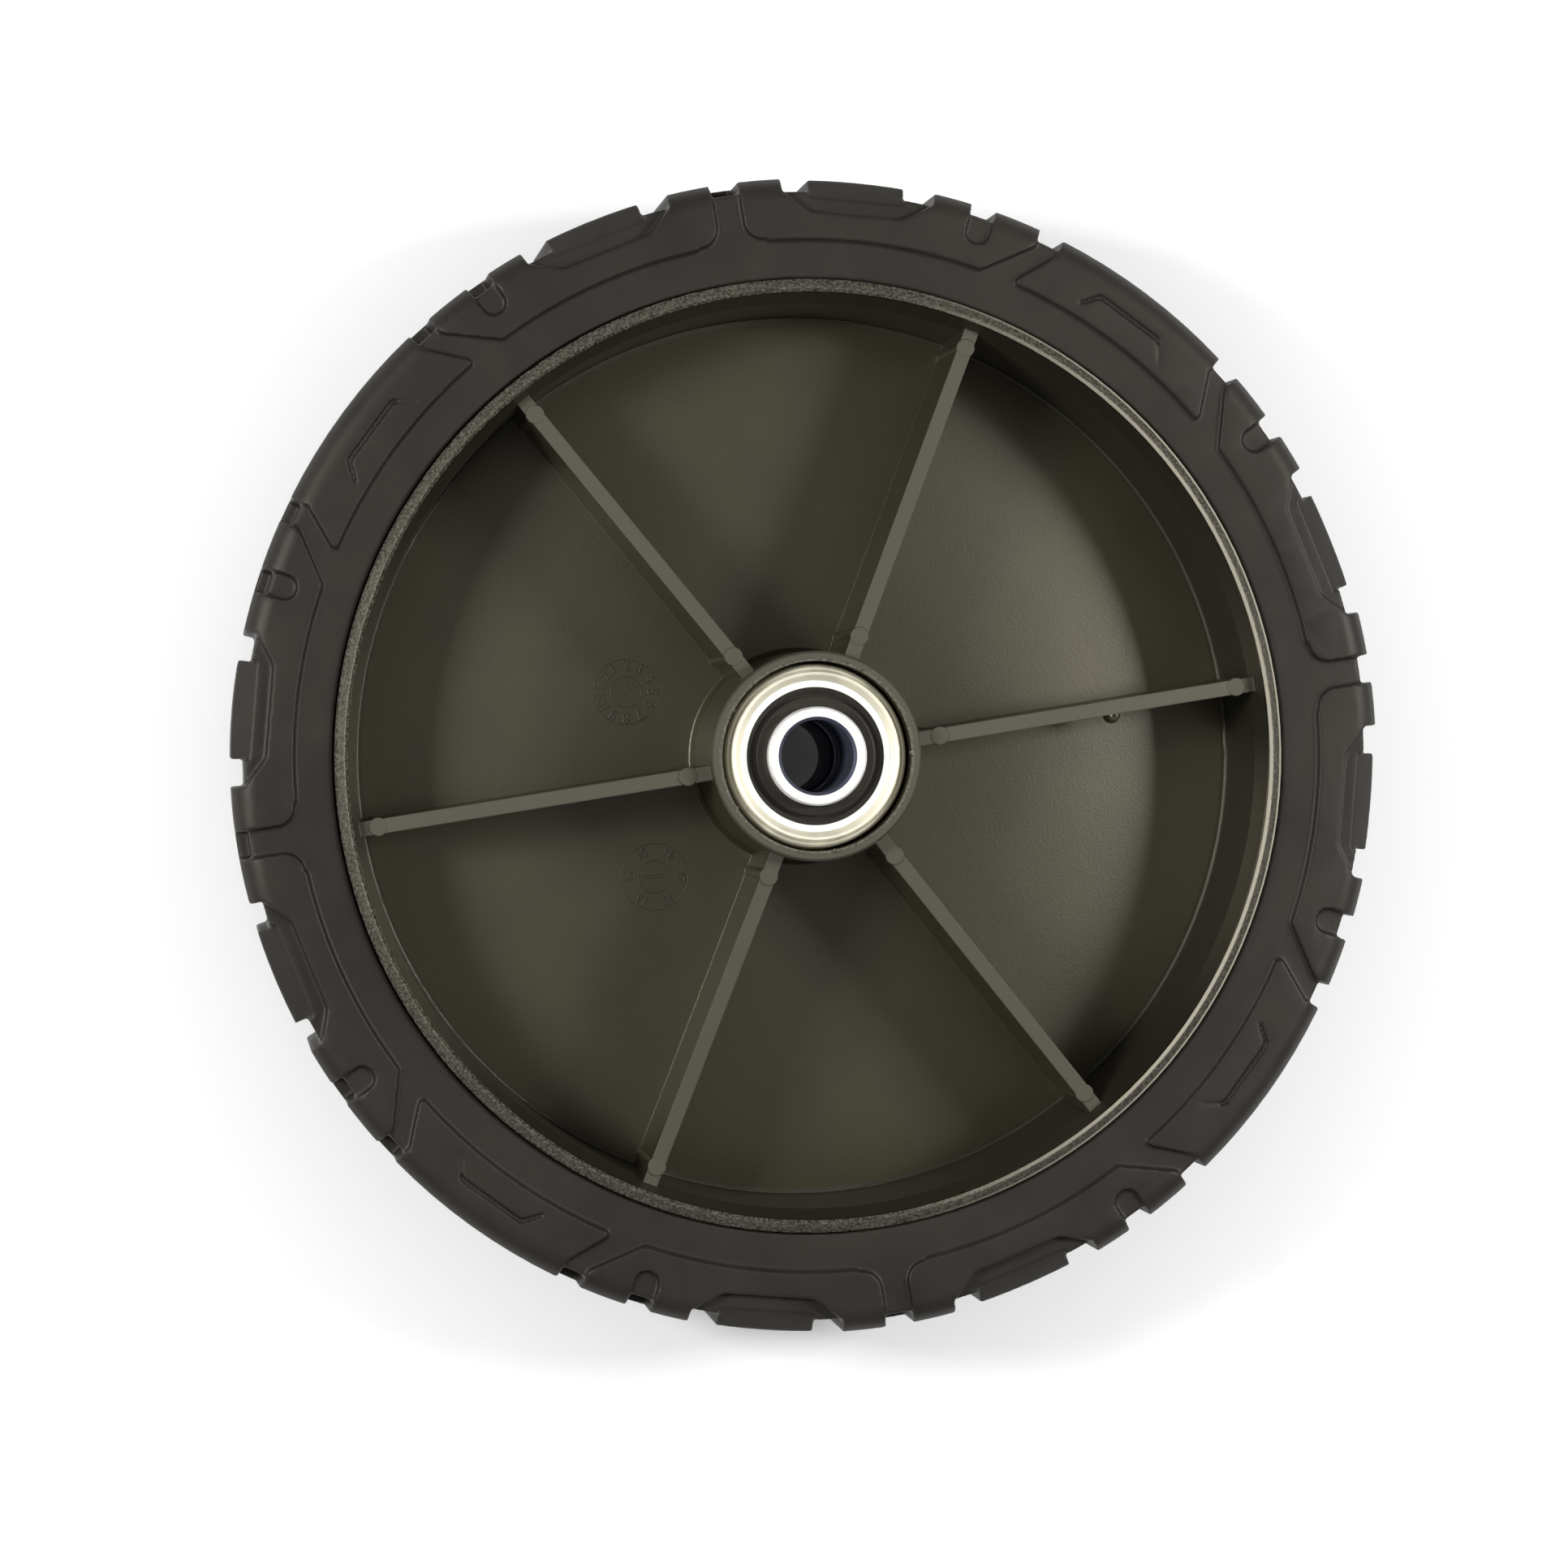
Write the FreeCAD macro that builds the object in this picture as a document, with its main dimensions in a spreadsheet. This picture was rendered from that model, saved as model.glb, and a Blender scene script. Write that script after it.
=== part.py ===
import FreeCAD, Part
import math
import os
import re
import Sketcher

# Lawn mower wheel: a moulded plastic rim with six ribs, a solid rubber tyre and two sealed ball bearings.
# Lengths are in millimetres and angles in degrees. The spin axis is +Z, the ribbed face looks up, and the
# origin is on the axis in the middle plane of the tyre.

SIZES = {
    # Tyre
    "tyre_radius": 101.6,
    "tyre_width": 44.45,
    "tyre_section": 17.9,
    "tyre_seat_gap": 0.1,
    "tyre_flange_gap": 0.25,
    "shoulder_inset": 1.9,
    "shoulder_drop": 2.6,
    "shoulder_rounding": 4.4,
    "block_reach": 10.75,
    "block_height": 1.0,
    "block_edge_slope": 0.45,
    # Tread and sidewall pattern, repeated round the tyre on both sides, with its reaches measured inwards
    # from the tread and its spans in degrees, one after the other from the middle of the radial channel
    "pattern_count": 4,
    "pattern_angle": 8.9,
    "notch_depth": 2.3,
    "notch_length": 14.2,
    "radial_channel_half_width": 2.45,
    "long_block_corner": 3.4,
    "first_notch_start": 5.8,
    "first_notch_span": 2.8,
    "bar_span": 9.8,
    "second_notch_span": 2.95,
    "slot_lead": 5.15,
    "slot_half_width": 2.2,
    "slot_reach": 7.0,
    "slot_end_rounding": 2.1,
    "scoop_reach": 6.2,
    "scoop_depth": 2.1,
    "scoop_corner": 2.6,
    "bar_face_reach": 3.8,
    "bar_face_drop": 3.2,
    "diagonal_lead": 1.6,
    "diagonal_inner_span": 3.8,
    "diagonal_sweep": 4.5,
    "diagonal_outer_span": 2.5,
    "diagonal_bend_reach": 3.4,
    "diagonal_corner": 1.2,
    "frame_groove_inner_reach": 9.3,
    "frame_groove_outer_reach": 5.4,
    "frame_groove_inner_half_width": 9.3,
    "frame_groove_outer_half_width": 6.6,
    "frame_groove_inner_narrowing": 0.715,
    "frame_groove_outer_narrowing": 0.33,
    "frame_groove_width": 0.85,
    "frame_groove_corner": 1.5,
    "frame_groove_depth": 0.75,
    "cut_overrun": 3.0,
    "channel_overrun": 1.0,
    "channel_overrun_angle": 1.0,
    "channel_mouth_land": 0.3,
    "notch_crossing": 0.5,
    # Rim drum and lips
    "lip_stand": 1.575,
    "lip_width": 2.3,
    "lip_slope_drop": 1.6,
    "lip_rounding": 0.6,
    "flange_height": 4.6,
    "flange_slope": 1.4,
    "flange_depth": 1.5,
    "drum_wall": 2.4,
    "drum_draft": 0.5,
    "drum_flare_height": 5.6,
    "drum_foot": 0.35,
    # Web and ribs. The web is crowned: level round the hub, then curving down towards the drum
    "web_top": -3.6,
    "web_crown": 2.9,
    "web_crown_bend": 29.0,
    "web_crown_rounding": 450.0,
    "web_thickness": 3.0,
    "rib_count": 6,
    "rib_angle": 9.2,
    "rib_thickness": 2.6,
    "rib_inner_top": 24.0,
    "rib_outer_top": 19.7,
    "ejector_radius": 1.6,
    "ejector_hub_gap": 4.1,
    "ejector_drum_gap": 2.3,
    "ejector_stand": 0.15,
    # Hub
    "hub_wall": 1.8,
    "hub_draft": 0.4,
    "hub_edge": 0.4,
    "hub_setback": 0.9,
    "hub_ledge": 4.1,
    "hub_foot": 0.8,
    "bearing_seat_gap": 0.03,
    # Both bearings, measured inwards from the outer face of the inner race
    "bearing_span": 50.8,
    "bearing_shift": 3.5,
    "casing_radius": 16.6,
    "casing_wall": 0.9,
    "casing_front": 2.6,
    "casing_corner": 1.6,
    "casing_roll_reach": 3.35,
    "casing_roll_edge": 0.35,
    "casing_back_reach": 3.0,
    "race_front": 3.5,
    "outer_race_rise": 1.7,
    "press_gap": 0.02,
    "inner_race_drop": 1.75,
    "inner_race_length": 19.8,
    "inner_race_edge": 0.3,
    "axle_bore_radius": 6.35,
    "axle_bore_chamfer": 0.5,
    "sleeve_wall": 1.65,
    "ball_count": 7,
    "ball_radius": 2.38,
    "ball_pitch_radius": 10.4,
    "ball_clearance": 0.03,
    "cage_half_wall": 0.7,
    "cage_rail": 0.5,
    "cage_pocket_gap": 0.1,
    "cage_front_gap": 0.22,
    "cage_back_gap": 0.37,
    "pocket_overrun": 1.0,
    "seal_recess": 0.1,
    "seal_thickness": 0.7,
    "seal_lip_gap": 0.08,
    "shield_inset": 0.15,
    "shield_thickness": 0.5,
    "spacer_wall": 0.9,
}

# Places that follow from the sizes
PLACES = {
    "lip_outer_radius": "tyre_radius - tyre_section",
    "lip_inner_radius": "lip_outer_radius - lip_width",
    "seat_radius": "lip_outer_radius - flange_depth",
    "drum_flare_radius": "seat_radius - drum_wall",
    "drum_base_radius": "drum_flare_radius - drum_draft",
    "rim_width": "tyre_width + 2 * lip_stand",
    "tread_reach": "tyre_radius + cut_overrun",
    "notch_floor": "tyre_radius - notch_depth",
    "block_inner_radius": "tyre_radius - block_reach",
    "slot_bottom_radius": "tyre_radius - slot_reach",
    "scoop_bottom_radius": "tyre_radius - scoop_reach",
    "bar_face_radius": "tyre_radius - bar_face_reach",
    "diagonal_bend_radius": "tyre_radius - diagonal_bend_reach",
    "frame_groove_inner_place": "tyre_radius - frame_groove_inner_reach",
    "frame_groove_outer_place": "tyre_radius - frame_groove_outer_reach",
    "first_notch_end": "first_notch_start + first_notch_span",
    "second_notch_start": "first_notch_end + bar_span",
    "second_notch_end": "second_notch_start + second_notch_span",
    "slot_angle": "second_notch_end + slot_lead",
    "diagonal_inner_start": "slot_angle + diagonal_lead",
    "diagonal_inner_end": "diagonal_inner_start + diagonal_inner_span",
    "diagonal_outer_start": "diagonal_inner_start + diagonal_sweep",
    "diagonal_outer_end": "diagonal_outer_start + diagonal_outer_span",
    "hub_radius": "casing_radius + hub_wall",
    "hub_bore_radius": "casing_radius - hub_ledge",
    "web_crown_top": "web_top + web_crown",
    "web_bend_radius": "drum_base_radius - web_crown_bend",
    "web_middle_at_drum": "web_top - web_thickness / 2",
    "web_middle_at_hub": "web_crown_top - web_thickness / 2",
    "ejector_inner_place": "hub_radius + ejector_hub_gap",
    "ejector_outer_place": "drum_base_radius - ejector_drum_gap",
    "casing_roll_radius": "casing_radius - casing_roll_reach",
    "casing_back_radius": "casing_radius - casing_back_reach",
    "outer_race_land": "ball_pitch_radius + outer_race_rise",
    "inner_race_land": "ball_pitch_radius - inner_race_drop",
    "sleeve_radius": "axle_bore_radius + sleeve_wall",
    "spacer_inner_radius": "sleeve_radius - spacer_wall",
    "cage_half_height": "ball_radius + cage_pocket_gap + cage_rail",
    "ball_depth": "race_front + seal_recess + seal_thickness + cage_front_gap + cage_half_height",
    "casing_floor": "ball_depth + cage_half_height + cage_back_gap + shield_thickness + shield_inset",
    "casing_back": "casing_floor + casing_wall",
    "front_face": "bearing_shift + bearing_span / 2",
    "rear_face": "bearing_shift - bearing_span / 2",
}

BEARING_DIRECTIONS = {"front": 1, "rear": -1}

doc = FreeCAD.newDocument("mower_wheel")
sheet = doc.addObject("Spreadsheet::Sheet", "Sizes")
for row, (alias, size) in enumerate(SIZES.items(), start=1):
    sheet.set(f"A{row}", alias)
    sheet.set(f"B{row}", str(size))
    sheet.setAlias(f"B{row}", alias)
doc.recompute()


def bound(expression):
    """The expression with each place worked out and each size's name pointing at its cell in the sheet."""
    def pointed(match):
        word = match[0]
        if word in PLACES:
            return f"({bound(PLACES[word])})"
        return f"Sizes.{word}" if word in SIZES else word
    return re.sub(r"[a-z_]+", pointed, expression)


def value(expression):
    """The number that an expression has at the present sizes."""
    return float(sheet.evalExpression(bound(expression)))


def polar(radius, angle):
    """The x and y expressions of a point given by its radius and angle."""
    return f"({radius}) * cos({angle})", f"({radius}) * sin({angle})"


def new_body(label):
    """An empty body with the label of its part file."""
    body = doc.addObject("PartDesign::Body", label)
    body.Label = label
    return body


def origin_feature(body, role):
    """The plane or axis of a body's origin that has a given role."""
    return next(item for item in body.Origin.OriginFeatures if item.Role == role)


def new_sketch(body, name, plane, height="0", turn="0"):
    """A sketch on an origin plane, lifted along the plane's normal and turned about the Z axis."""
    sketch = body.newObject("Sketcher::SketchObject", name)
    sketch.AttachmentSupport = [(origin_feature(body, plane), "")]
    sketch.MapMode = "FlatFace"
    if plane == "XZ_Plane":
        sketch.AttachmentOffset = FreeCAD.Placement(
            FreeCAD.Vector(), FreeCAD.Rotation(FreeCAD.Vector(0, 1, 0), 1))
    sketch.setExpression("AttachmentOffset.Base.z", bound(height))
    sketch.setExpression("AttachmentOffset.Rotation.Angle", bound(turn))
    return sketch


def fix_point(sketch, geometry, position, x, y):
    """Tie a point of the sketch to two expressions."""
    for kind, expression in (("DistanceX", x), ("DistanceY", y)):
        index = sketch.addConstraint(
            Sketcher.Constraint(kind, -1, 1, geometry, position, value(expression)))
        sketch.setExpression(f"Constraints[{index}]", bound(expression))


def closed_outline(sketch, corners):
    """Draw straight runs through corners (x, y) or (x, y, rounding), all given as expressions."""
    count = len(corners)
    places = [FreeCAD.Vector(value(corner[0]), value(corner[1]), 0) for corner in corners]
    cuts = []
    for index, corner in enumerate(corners):
        here = places[index]
        back = (places[index - 1] - here).normalize()
        ahead = (places[(index + 1) % count] - here).normalize()
        if len(corner) == 2:
            cuts.append((here, here, None))
            continue
        rounding = value(corner[2])
        reach = rounding / math.tan(back.getAngle(ahead) / 2)
        centre = here + (back + ahead).normalize() * (rounding / math.sin(back.getAngle(ahead) / 2))
        cuts.append((here + back * reach, here + ahead * reach, centre))
    lines = [
        sketch.addGeometry(Part.LineSegment(cuts[index][1], cuts[(index + 1) % count][0]))
        for index in range(count)
    ]
    for index, corner in enumerate(corners):
        before, after = lines[index - 1], lines[index]
        start, end, centre = cuts[index]
        if centre is None:
            sketch.addConstraint(Sketcher.Constraint("Coincident", before, 2, after, 1))
            fix_point(sketch, before, 2, corner[0], corner[1])
            continue
        turns_left = (places[index] - places[index - 1]).cross(end - places[index]).z > 0
        first, last = (start, end) if turns_left else (end, start)
        angles = [math.atan2(point.y - centre.y, point.x - centre.x) for point in (first, last)]
        circle = Part.Circle(centre, FreeCAD.Vector(0, 0, 1), (start - centre).Length)
        arc = sketch.addGeometry(Part.ArcOfCircle(circle, angles[0], angles[1]))
        apex = sketch.addGeometry(Part.Point(places[index]), True)
        start_side, end_side = (1, 2) if turns_left else (2, 1)
        sketch.addConstraint(Sketcher.Constraint("Tangent", before, 2, arc, start_side))
        sketch.addConstraint(Sketcher.Constraint("Tangent", after, 1, arc, end_side))
        sketch.addConstraint(Sketcher.Constraint("PointOnObject", apex, 1, before))
        sketch.addConstraint(Sketcher.Constraint("PointOnObject", apex, 1, after))
        radius = sketch.addConstraint(Sketcher.Constraint("Radius", arc, (start - centre).Length))
        sketch.setExpression(f"Constraints[{radius}]", bound(corner[2]))
        fix_point(sketch, apex, 1, corner[0], corner[1])


def draw_circle(sketch, x, y, radius):
    """Draw a circle whose centre and radius are expressions."""
    centre = FreeCAD.Vector(value(x), value(y), 0)
    circle = sketch.addGeometry(Part.Circle(centre, FreeCAD.Vector(0, 0, 1), value(radius)))
    fix_point(sketch, circle, 3, x, y)
    index = sketch.addConstraint(Sketcher.Constraint("Radius", circle, value(radius)))
    sketch.setExpression(f"Constraints[{index}]", bound(radius))


def revolve(body, name, corners):
    """Turn an outline of (radius, height) corners once round the body's Z axis."""
    sketch = new_sketch(body, f"{name}_profile", "XZ_Plane")
    closed_outline(sketch, corners)
    turned = body.newObject("PartDesign::Revolution", name)
    turned.Profile = sketch
    turned.ReferenceAxis = (sketch, ["V_Axis"])
    turned.Angle = 360
    return turned


def pocket(body, name, corners, height, depth, angle="0"):
    """Cut an outline down from a height above the XY plane, at an angle about Z."""
    sketch = new_sketch(body, f"{name}_outline", "XY_Plane", height, angle)
    closed_outline(sketch, corners)
    cut = body.newObject("PartDesign::Pocket", name)
    cut.Profile = sketch
    cut.setExpression("Length", bound(depth))
    return cut


def repeat(body, name, features, count, mirror_planes=()):
    """Repeat features about Z, after mirroring them in the named planes."""
    pattern = body.newObject("PartDesign::MultiTransform", name)
    pattern.Originals = features
    steps = []
    for plane in mirror_planes:
        mirrored = body.newObject("PartDesign::Mirrored", f"{name}_{plane}")
        mirrored.MirrorPlane = (origin_feature(body, plane), [""])
        steps.append(mirrored)
    turned = body.newObject("PartDesign::PolarPattern", f"{name}_turns")
    turned.Axis = (origin_feature(body, "Z_Axis"), [""])
    turned.Angle = 360
    turned.setExpression("Occurrences", bound(count))
    pattern.Transformations = [*steps, turned]
    body.Tip = pattern
    return pattern


def mirrored_up(corners):
    """The corners followed by their mirror images in the middle plane, in reverse order."""
    return [*corners, *((corner[0], f"-({corner[1]})", *corner[2:]) for corner in reversed(corners))]


def build_rim():
    """The one-piece moulding: drum with two lips, web, hub with two bearing seats, and six ribs."""
    body = new_body("rim")
    half = "rim_width / 2"
    flange_foot = f"{half} - flange_height"
    lip_edge = f"{half} - lip_slope_drop"
    lip_crest = "lip_inner_radius + lip_rounding"
    seat = "casing_radius + bearing_seat_gap"
    web_bottom = "web_top - web_thickness"
    crown_bottom = "web_crown_top - web_thickness"
    corners = [
        # Front half of the hub, from its bore outwards
        ("hub_bore_radius", "front_face - casing_back"),
        (seat, "front_face - casing_back"),
        (seat, "front_face - hub_setback"),
        ("hub_radius - hub_edge", "front_face - hub_setback"),
        ("hub_radius", "front_face - hub_setback - hub_edge"),
        ("hub_radius + hub_draft", "web_crown_top + hub_foot"),
        ("hub_radius + hub_draft + hub_foot", "web_crown_top"),
        # Crowned web and the inside of the drum up to the front lip
        ("web_bend_radius", "web_crown_top", "web_crown_rounding"),
        ("drum_base_radius - drum_foot", "web_top"),
        ("drum_base_radius", "web_top + drum_foot"),
        ("drum_flare_radius", f"{half} - drum_flare_height"),
        ("lip_inner_radius", f"{half} - lip_rounding"),
        (lip_crest, half),
        ("lip_outer_radius", lip_edge),
        ("lip_outer_radius", f"{flange_foot} + flange_slope"),
        ("seat_radius", flange_foot),
        # Rear lip and the inside of the drum down to the web
        ("seat_radius", f"-({flange_foot})"),
        ("lip_outer_radius", f"-({flange_foot} + flange_slope)"),
        ("lip_outer_radius", f"-({lip_edge})"),
        (lip_crest, f"-({half})"),
        ("lip_inner_radius", f"-({half} - lip_rounding)"),
        ("drum_flare_radius", f"-({half} - drum_flare_height)"),
        ("drum_base_radius", f"{web_bottom} - drum_foot"),
        ("drum_base_radius - drum_foot", web_bottom),
        ("web_bend_radius", crown_bottom, "web_crown_rounding - web_thickness"),
        # Rear half of the hub
        ("hub_radius + hub_draft + hub_foot", crown_bottom),
        ("hub_radius + hub_draft", f"{crown_bottom} - hub_foot"),
        ("hub_radius", "rear_face + hub_setback + hub_edge"),
        ("hub_radius - hub_edge", "rear_face + hub_setback"),
        (seat, "rear_face + hub_setback"),
        (seat, "rear_face + casing_back"),
        ("hub_bore_radius", "rear_face + casing_back"),
    ]
    revolve(body, "rim_turned", corners)
    inner_end = f"(hub_radius + {seat}) / 2"
    outer_end = "(seat_radius + drum_flare_radius) / 2"
    sketch = new_sketch(body, "rib_profile", "XZ_Plane")
    closed_outline(sketch, [
        (inner_end, "web_middle_at_hub"),
        (outer_end, "web_middle_at_drum"),
        (outer_end, "rib_outer_top"),
        (inner_end, "rib_inner_top"),
    ])
    rib = body.newObject("PartDesign::Pad", "rib")
    rib.Profile = sketch
    rib.SideType = "Symmetric"
    rib.setExpression("Length", bound("rib_thickness"))
    features = [rib]
    slope = f"(rib_inner_top - rib_outer_top) / ({outer_end} - ({inner_end}))"
    for name, root in (("inner", "web_middle_at_hub"), ("outer", "web_middle_at_drum")):
        place = f"ejector_{name}_place"
        top = f"rib_inner_top - {slope} * ({place} - ({inner_end})) + ejector_stand"
        mark = new_sketch(body, f"ejector_{name}_outline", "XY_Plane", root)
        draw_circle(mark, place, "0", "ejector_radius")
        boss = body.newObject("PartDesign::Pad", f"ejector_{name}")
        boss.Profile = mark
        boss.setExpression("Length", bound(f"{top} - ({root})"))
        features.append(boss)
    repeat(body, "ribs", features, "rib_count")
    body.setExpression("Placement.Rotation.Angle", bound("rib_angle"))
    return body


def ray_notch(body, name, angle, half_width, depth):
    """Cut a square-bottomed notch across the tread at an angle round the tyre."""
    return pocket(body, name, [
        ("notch_floor", f"-{half_width}"),
        ("tread_reach", f"-{half_width}"),
        ("tread_reach", half_width),
        ("notch_floor", half_width),
    ], "tyre_width / 2", depth, angle)


def build_tyre():
    """The solid rubber tyre, with raised blocks on its sidewalls and notches across its tread."""
    body = new_body("tyre")
    half = "tyre_width / 2"
    bead = f"{half} - block_height"
    relief = "lip_outer_radius + tyre_flange_gap"
    seat = "seat_radius + tyre_seat_gap"
    foot = "rim_width / 2 - flange_height"
    upper = [
        (seat, f"{foot} - tyre_flange_gap"),
        (relief, f"{foot} + flange_slope - tyre_flange_gap"),
        (relief, bead),
        ("block_inner_radius - block_edge_slope", bead),
        ("block_inner_radius", half),
        ("tyre_radius - shoulder_inset", half, "shoulder_rounding"),
        ("tyre_radius", f"{half} - shoulder_drop"),
    ]
    revolve(body, "tyre_turned", mirrored_up(upper))
    inside = "block_inner_radius - channel_overrun"

    # Radial channel between two long blocks, and the frame-shaped groove on each short block
    wide = "radial_channel_half_width"
    mouth = f"{wide} + long_block_corner + channel_mouth_land"
    channel = [
        ("tread_reach", wide),
        ("block_inner_radius", wide, "long_block_corner"),
        ("block_inner_radius", mouth),
        (inside, mouth),
    ]
    radial_channel = pocket(body, "radial_channel", mirrored_up(channel), half, "block_height")
    radial_notch = ray_notch(body, "radial_notch", "0", wide, "notch_length")
    band = "frame_groove_width"
    bend = "frame_groove_corner"
    frame = [
        ("frame_groove_inner_place", "frame_groove_inner_half_width"),
        ("frame_groove_outer_place", "frame_groove_outer_half_width", bend),
    ]
    inner_frame = [
        ("frame_groove_inner_place", "frame_groove_inner_half_width - frame_groove_inner_narrowing"),
        (f"frame_groove_outer_place - {band}",
         "frame_groove_outer_half_width - frame_groove_outer_narrowing", f"{bend} - {band}"),
    ]
    outline = [*frame, *((x, f"-({y})", *rest) for x, y, *rest in reversed(frame)),
               *((x, f"-({y})", *rest) for x, y, *rest in inner_frame), *reversed(inner_frame)]
    frame_groove = pocket(body, "frame_groove", outline, half, "frame_groove_depth", "180 / pattern_count")
    single = [radial_channel, radial_notch, frame_groove]
    repeat(body, "single_pattern", single, "pattern_count", ("XY_Plane",))

    # Everything that stands twice in each repeat, once on either side of the radial channel
    reach = f"{half} + notch_crossing"
    cuts = []
    for name, start, end, depth in (
        ("first_notch", "first_notch_start", "first_notch_end", reach),
        ("second_notch", "second_notch_start", "second_notch_end", reach),
        ("diagonal_notch", "diagonal_outer_start", "diagonal_outer_end", "notch_length"),
    ):
        cuts.append(pocket(body, name, [
            polar("notch_floor", start),
            polar("tread_reach", start),
            polar("tread_reach", end),
            polar("notch_floor", end),
        ], half, depth))
    cuts.append(pocket(body, "diagonal_channel", [
        polar(inside, "diagonal_inner_start - channel_overrun_angle"),
        polar(inside, "diagonal_inner_end + channel_overrun_angle"),
        (*polar("block_inner_radius", "diagonal_inner_end"), "diagonal_corner"),
        polar("diagonal_bend_radius", "diagonal_outer_end"),
        polar("tread_reach", "diagonal_outer_end"),
        polar("tread_reach", "diagonal_outer_start"),
        polar("diagonal_bend_radius", "diagonal_outer_start"),
        (*polar("block_inner_radius", "diagonal_inner_start"), "diagonal_corner"),
    ], half, "block_height"))
    cuts.append(pocket(body, "slot", [
        ("tread_reach", "slot_half_width"),
        ("slot_bottom_radius", "slot_half_width", "slot_end_rounding"),
        ("slot_bottom_radius", "-slot_half_width", "slot_end_rounding"),
        ("tread_reach", "-slot_half_width"),
    ], half, "block_height", "slot_angle"))
    cuts.append(ray_notch(body, "slot_notch", "slot_angle", "slot_half_width", "notch_length"))
    cuts.append(pocket(body, "scoop", [
        polar("tread_reach", "first_notch_start"),
        polar("notch_floor", "first_notch_start"),
        (*polar("scoop_bottom_radius", "first_notch_end"), "scoop_corner"),
        (*polar("scoop_bottom_radius", "second_notch_start"), "scoop_corner"),
        polar("notch_floor", "second_notch_end"),
        polar("tread_reach", "second_notch_end"),
    ], half, "scoop_depth"))
    bar_middle = "(first_notch_end + second_notch_start) / 2"
    scoop_floor = f"{half} - scoop_depth"
    bar_slope = "bar_face_drop / bar_face_reach"
    sketch = new_sketch(body, "bar_face_outline", "XZ_Plane", "0", bar_middle)
    closed_outline(sketch, [
        ("bar_face_radius", scoop_floor),
        ("tread_reach", f"{scoop_floor} - {bar_slope} * (tread_reach - bar_face_radius)"),
        ("tread_reach", scoop_floor),
    ])
    bar_face = body.newObject("PartDesign::Pocket", "bar_face")
    bar_face.Profile = sketch
    bar_face.SideType = "Symmetric"
    bar_face.setExpression(
        "Length", bound("2 * tyre_radius * sin((second_notch_start - first_notch_end) / 2)"))
    cuts.append(bar_face)
    repeat(body, "paired_pattern", cuts, "pattern_count", ("XZ_Plane", "XY_Plane"))
    body.setExpression("Placement.Rotation.Angle", bound("pattern_angle"))
    return body


def place_bearing_piece(piece, side):
    """Move a bearing piece, drawn with its outer face at zero height, to its end of the hub."""
    if BEARING_DIRECTIONS[side] < 0:
        piece.Placement.Rotation = FreeCAD.Rotation(FreeCAD.Vector(1, 0, 0), 180)
    piece.setExpression("Placement.Base.z", bound(f"{side}_face"))
    return piece


def cut_ball_track(body):
    """Cut the ring-shaped ball track into a race."""
    sketch = new_sketch(body, "track_profile", "XZ_Plane")
    draw_circle(sketch, "ball_pitch_radius", "-ball_depth", "ball_radius + ball_clearance")
    track = body.newObject("PartDesign::Groove", "track")
    track.Profile = sketch
    track.ReferenceAxis = (sketch, ["V_Axis"])
    track.Angle = 360


def build_casing(side):
    """The pressed steel casing, whose front edge is rolled over the outer race."""
    body = new_body(f"{side}_bearing_casing")
    inside = "casing_radius - casing_wall"
    revolve(body, "casing_turned", [
        ("casing_back_radius", "-casing_back"),
        ("casing_radius", "-casing_back"),
        ("casing_radius", "-casing_front", "casing_corner"),
        ("casing_radius - casing_corner - casing_roll_edge", "-casing_front"),
        ("casing_roll_radius", "-(race_front - casing_roll_edge)"),
        ("casing_roll_radius", "-race_front"),
        (inside, "-race_front"),
        (inside, "-casing_floor"),
        ("casing_back_radius", "-casing_floor"),
    ])
    return place_bearing_piece(body, side)


def build_outer_race(side):
    """The hardened outer ring, held in the casing."""
    body = new_body(f"{side}_outer_race")
    outside = "casing_radius - casing_wall - press_gap"
    revolve(body, "outer_race_turned", [
        ("outer_race_land", "-casing_floor"),
        (outside, "-casing_floor"),
        (outside, "-race_front"),
        ("outer_race_land", "-race_front"),
    ])
    cut_ball_track(body)
    return place_bearing_piece(body, side)


def build_inner_race(side):
    """The inner ring with its long sleeve, bored for the axle."""
    body = new_body(f"{side}_inner_race")
    mouth = "axle_bore_radius + axle_bore_chamfer"
    revolve(body, "inner_race_turned", [
        (mouth, "0"),
        ("inner_race_land - inner_race_edge", "0"),
        ("inner_race_land", "-inner_race_edge"),
        ("inner_race_land", "-casing_back"),
        ("sleeve_radius", "-casing_back"),
        ("sleeve_radius", "-inner_race_length"),
        (mouth, "-inner_race_length"),
        ("axle_bore_radius", "axle_bore_chamfer - inner_race_length"),
        ("axle_bore_radius", "-axle_bore_chamfer"),
    ])
    cut_ball_track(body)
    return place_bearing_piece(body, side)


def build_washer(label, side, top, thickness):
    """A flat ring pressed into the outer race, whose bore just clears the inner race."""
    body = new_body(f"{side}_{label}")
    inner = "inner_race_land + seal_lip_gap"
    outer = "outer_race_land - press_gap"
    revolve(body, f"{label}_turned", [
        (inner, f"-({top} + {thickness})"),
        (outer, f"-({top} + {thickness})"),
        (outer, f"-({top})"),
        (inner, f"-({top})"),
    ])
    return place_bearing_piece(body, side)


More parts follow.
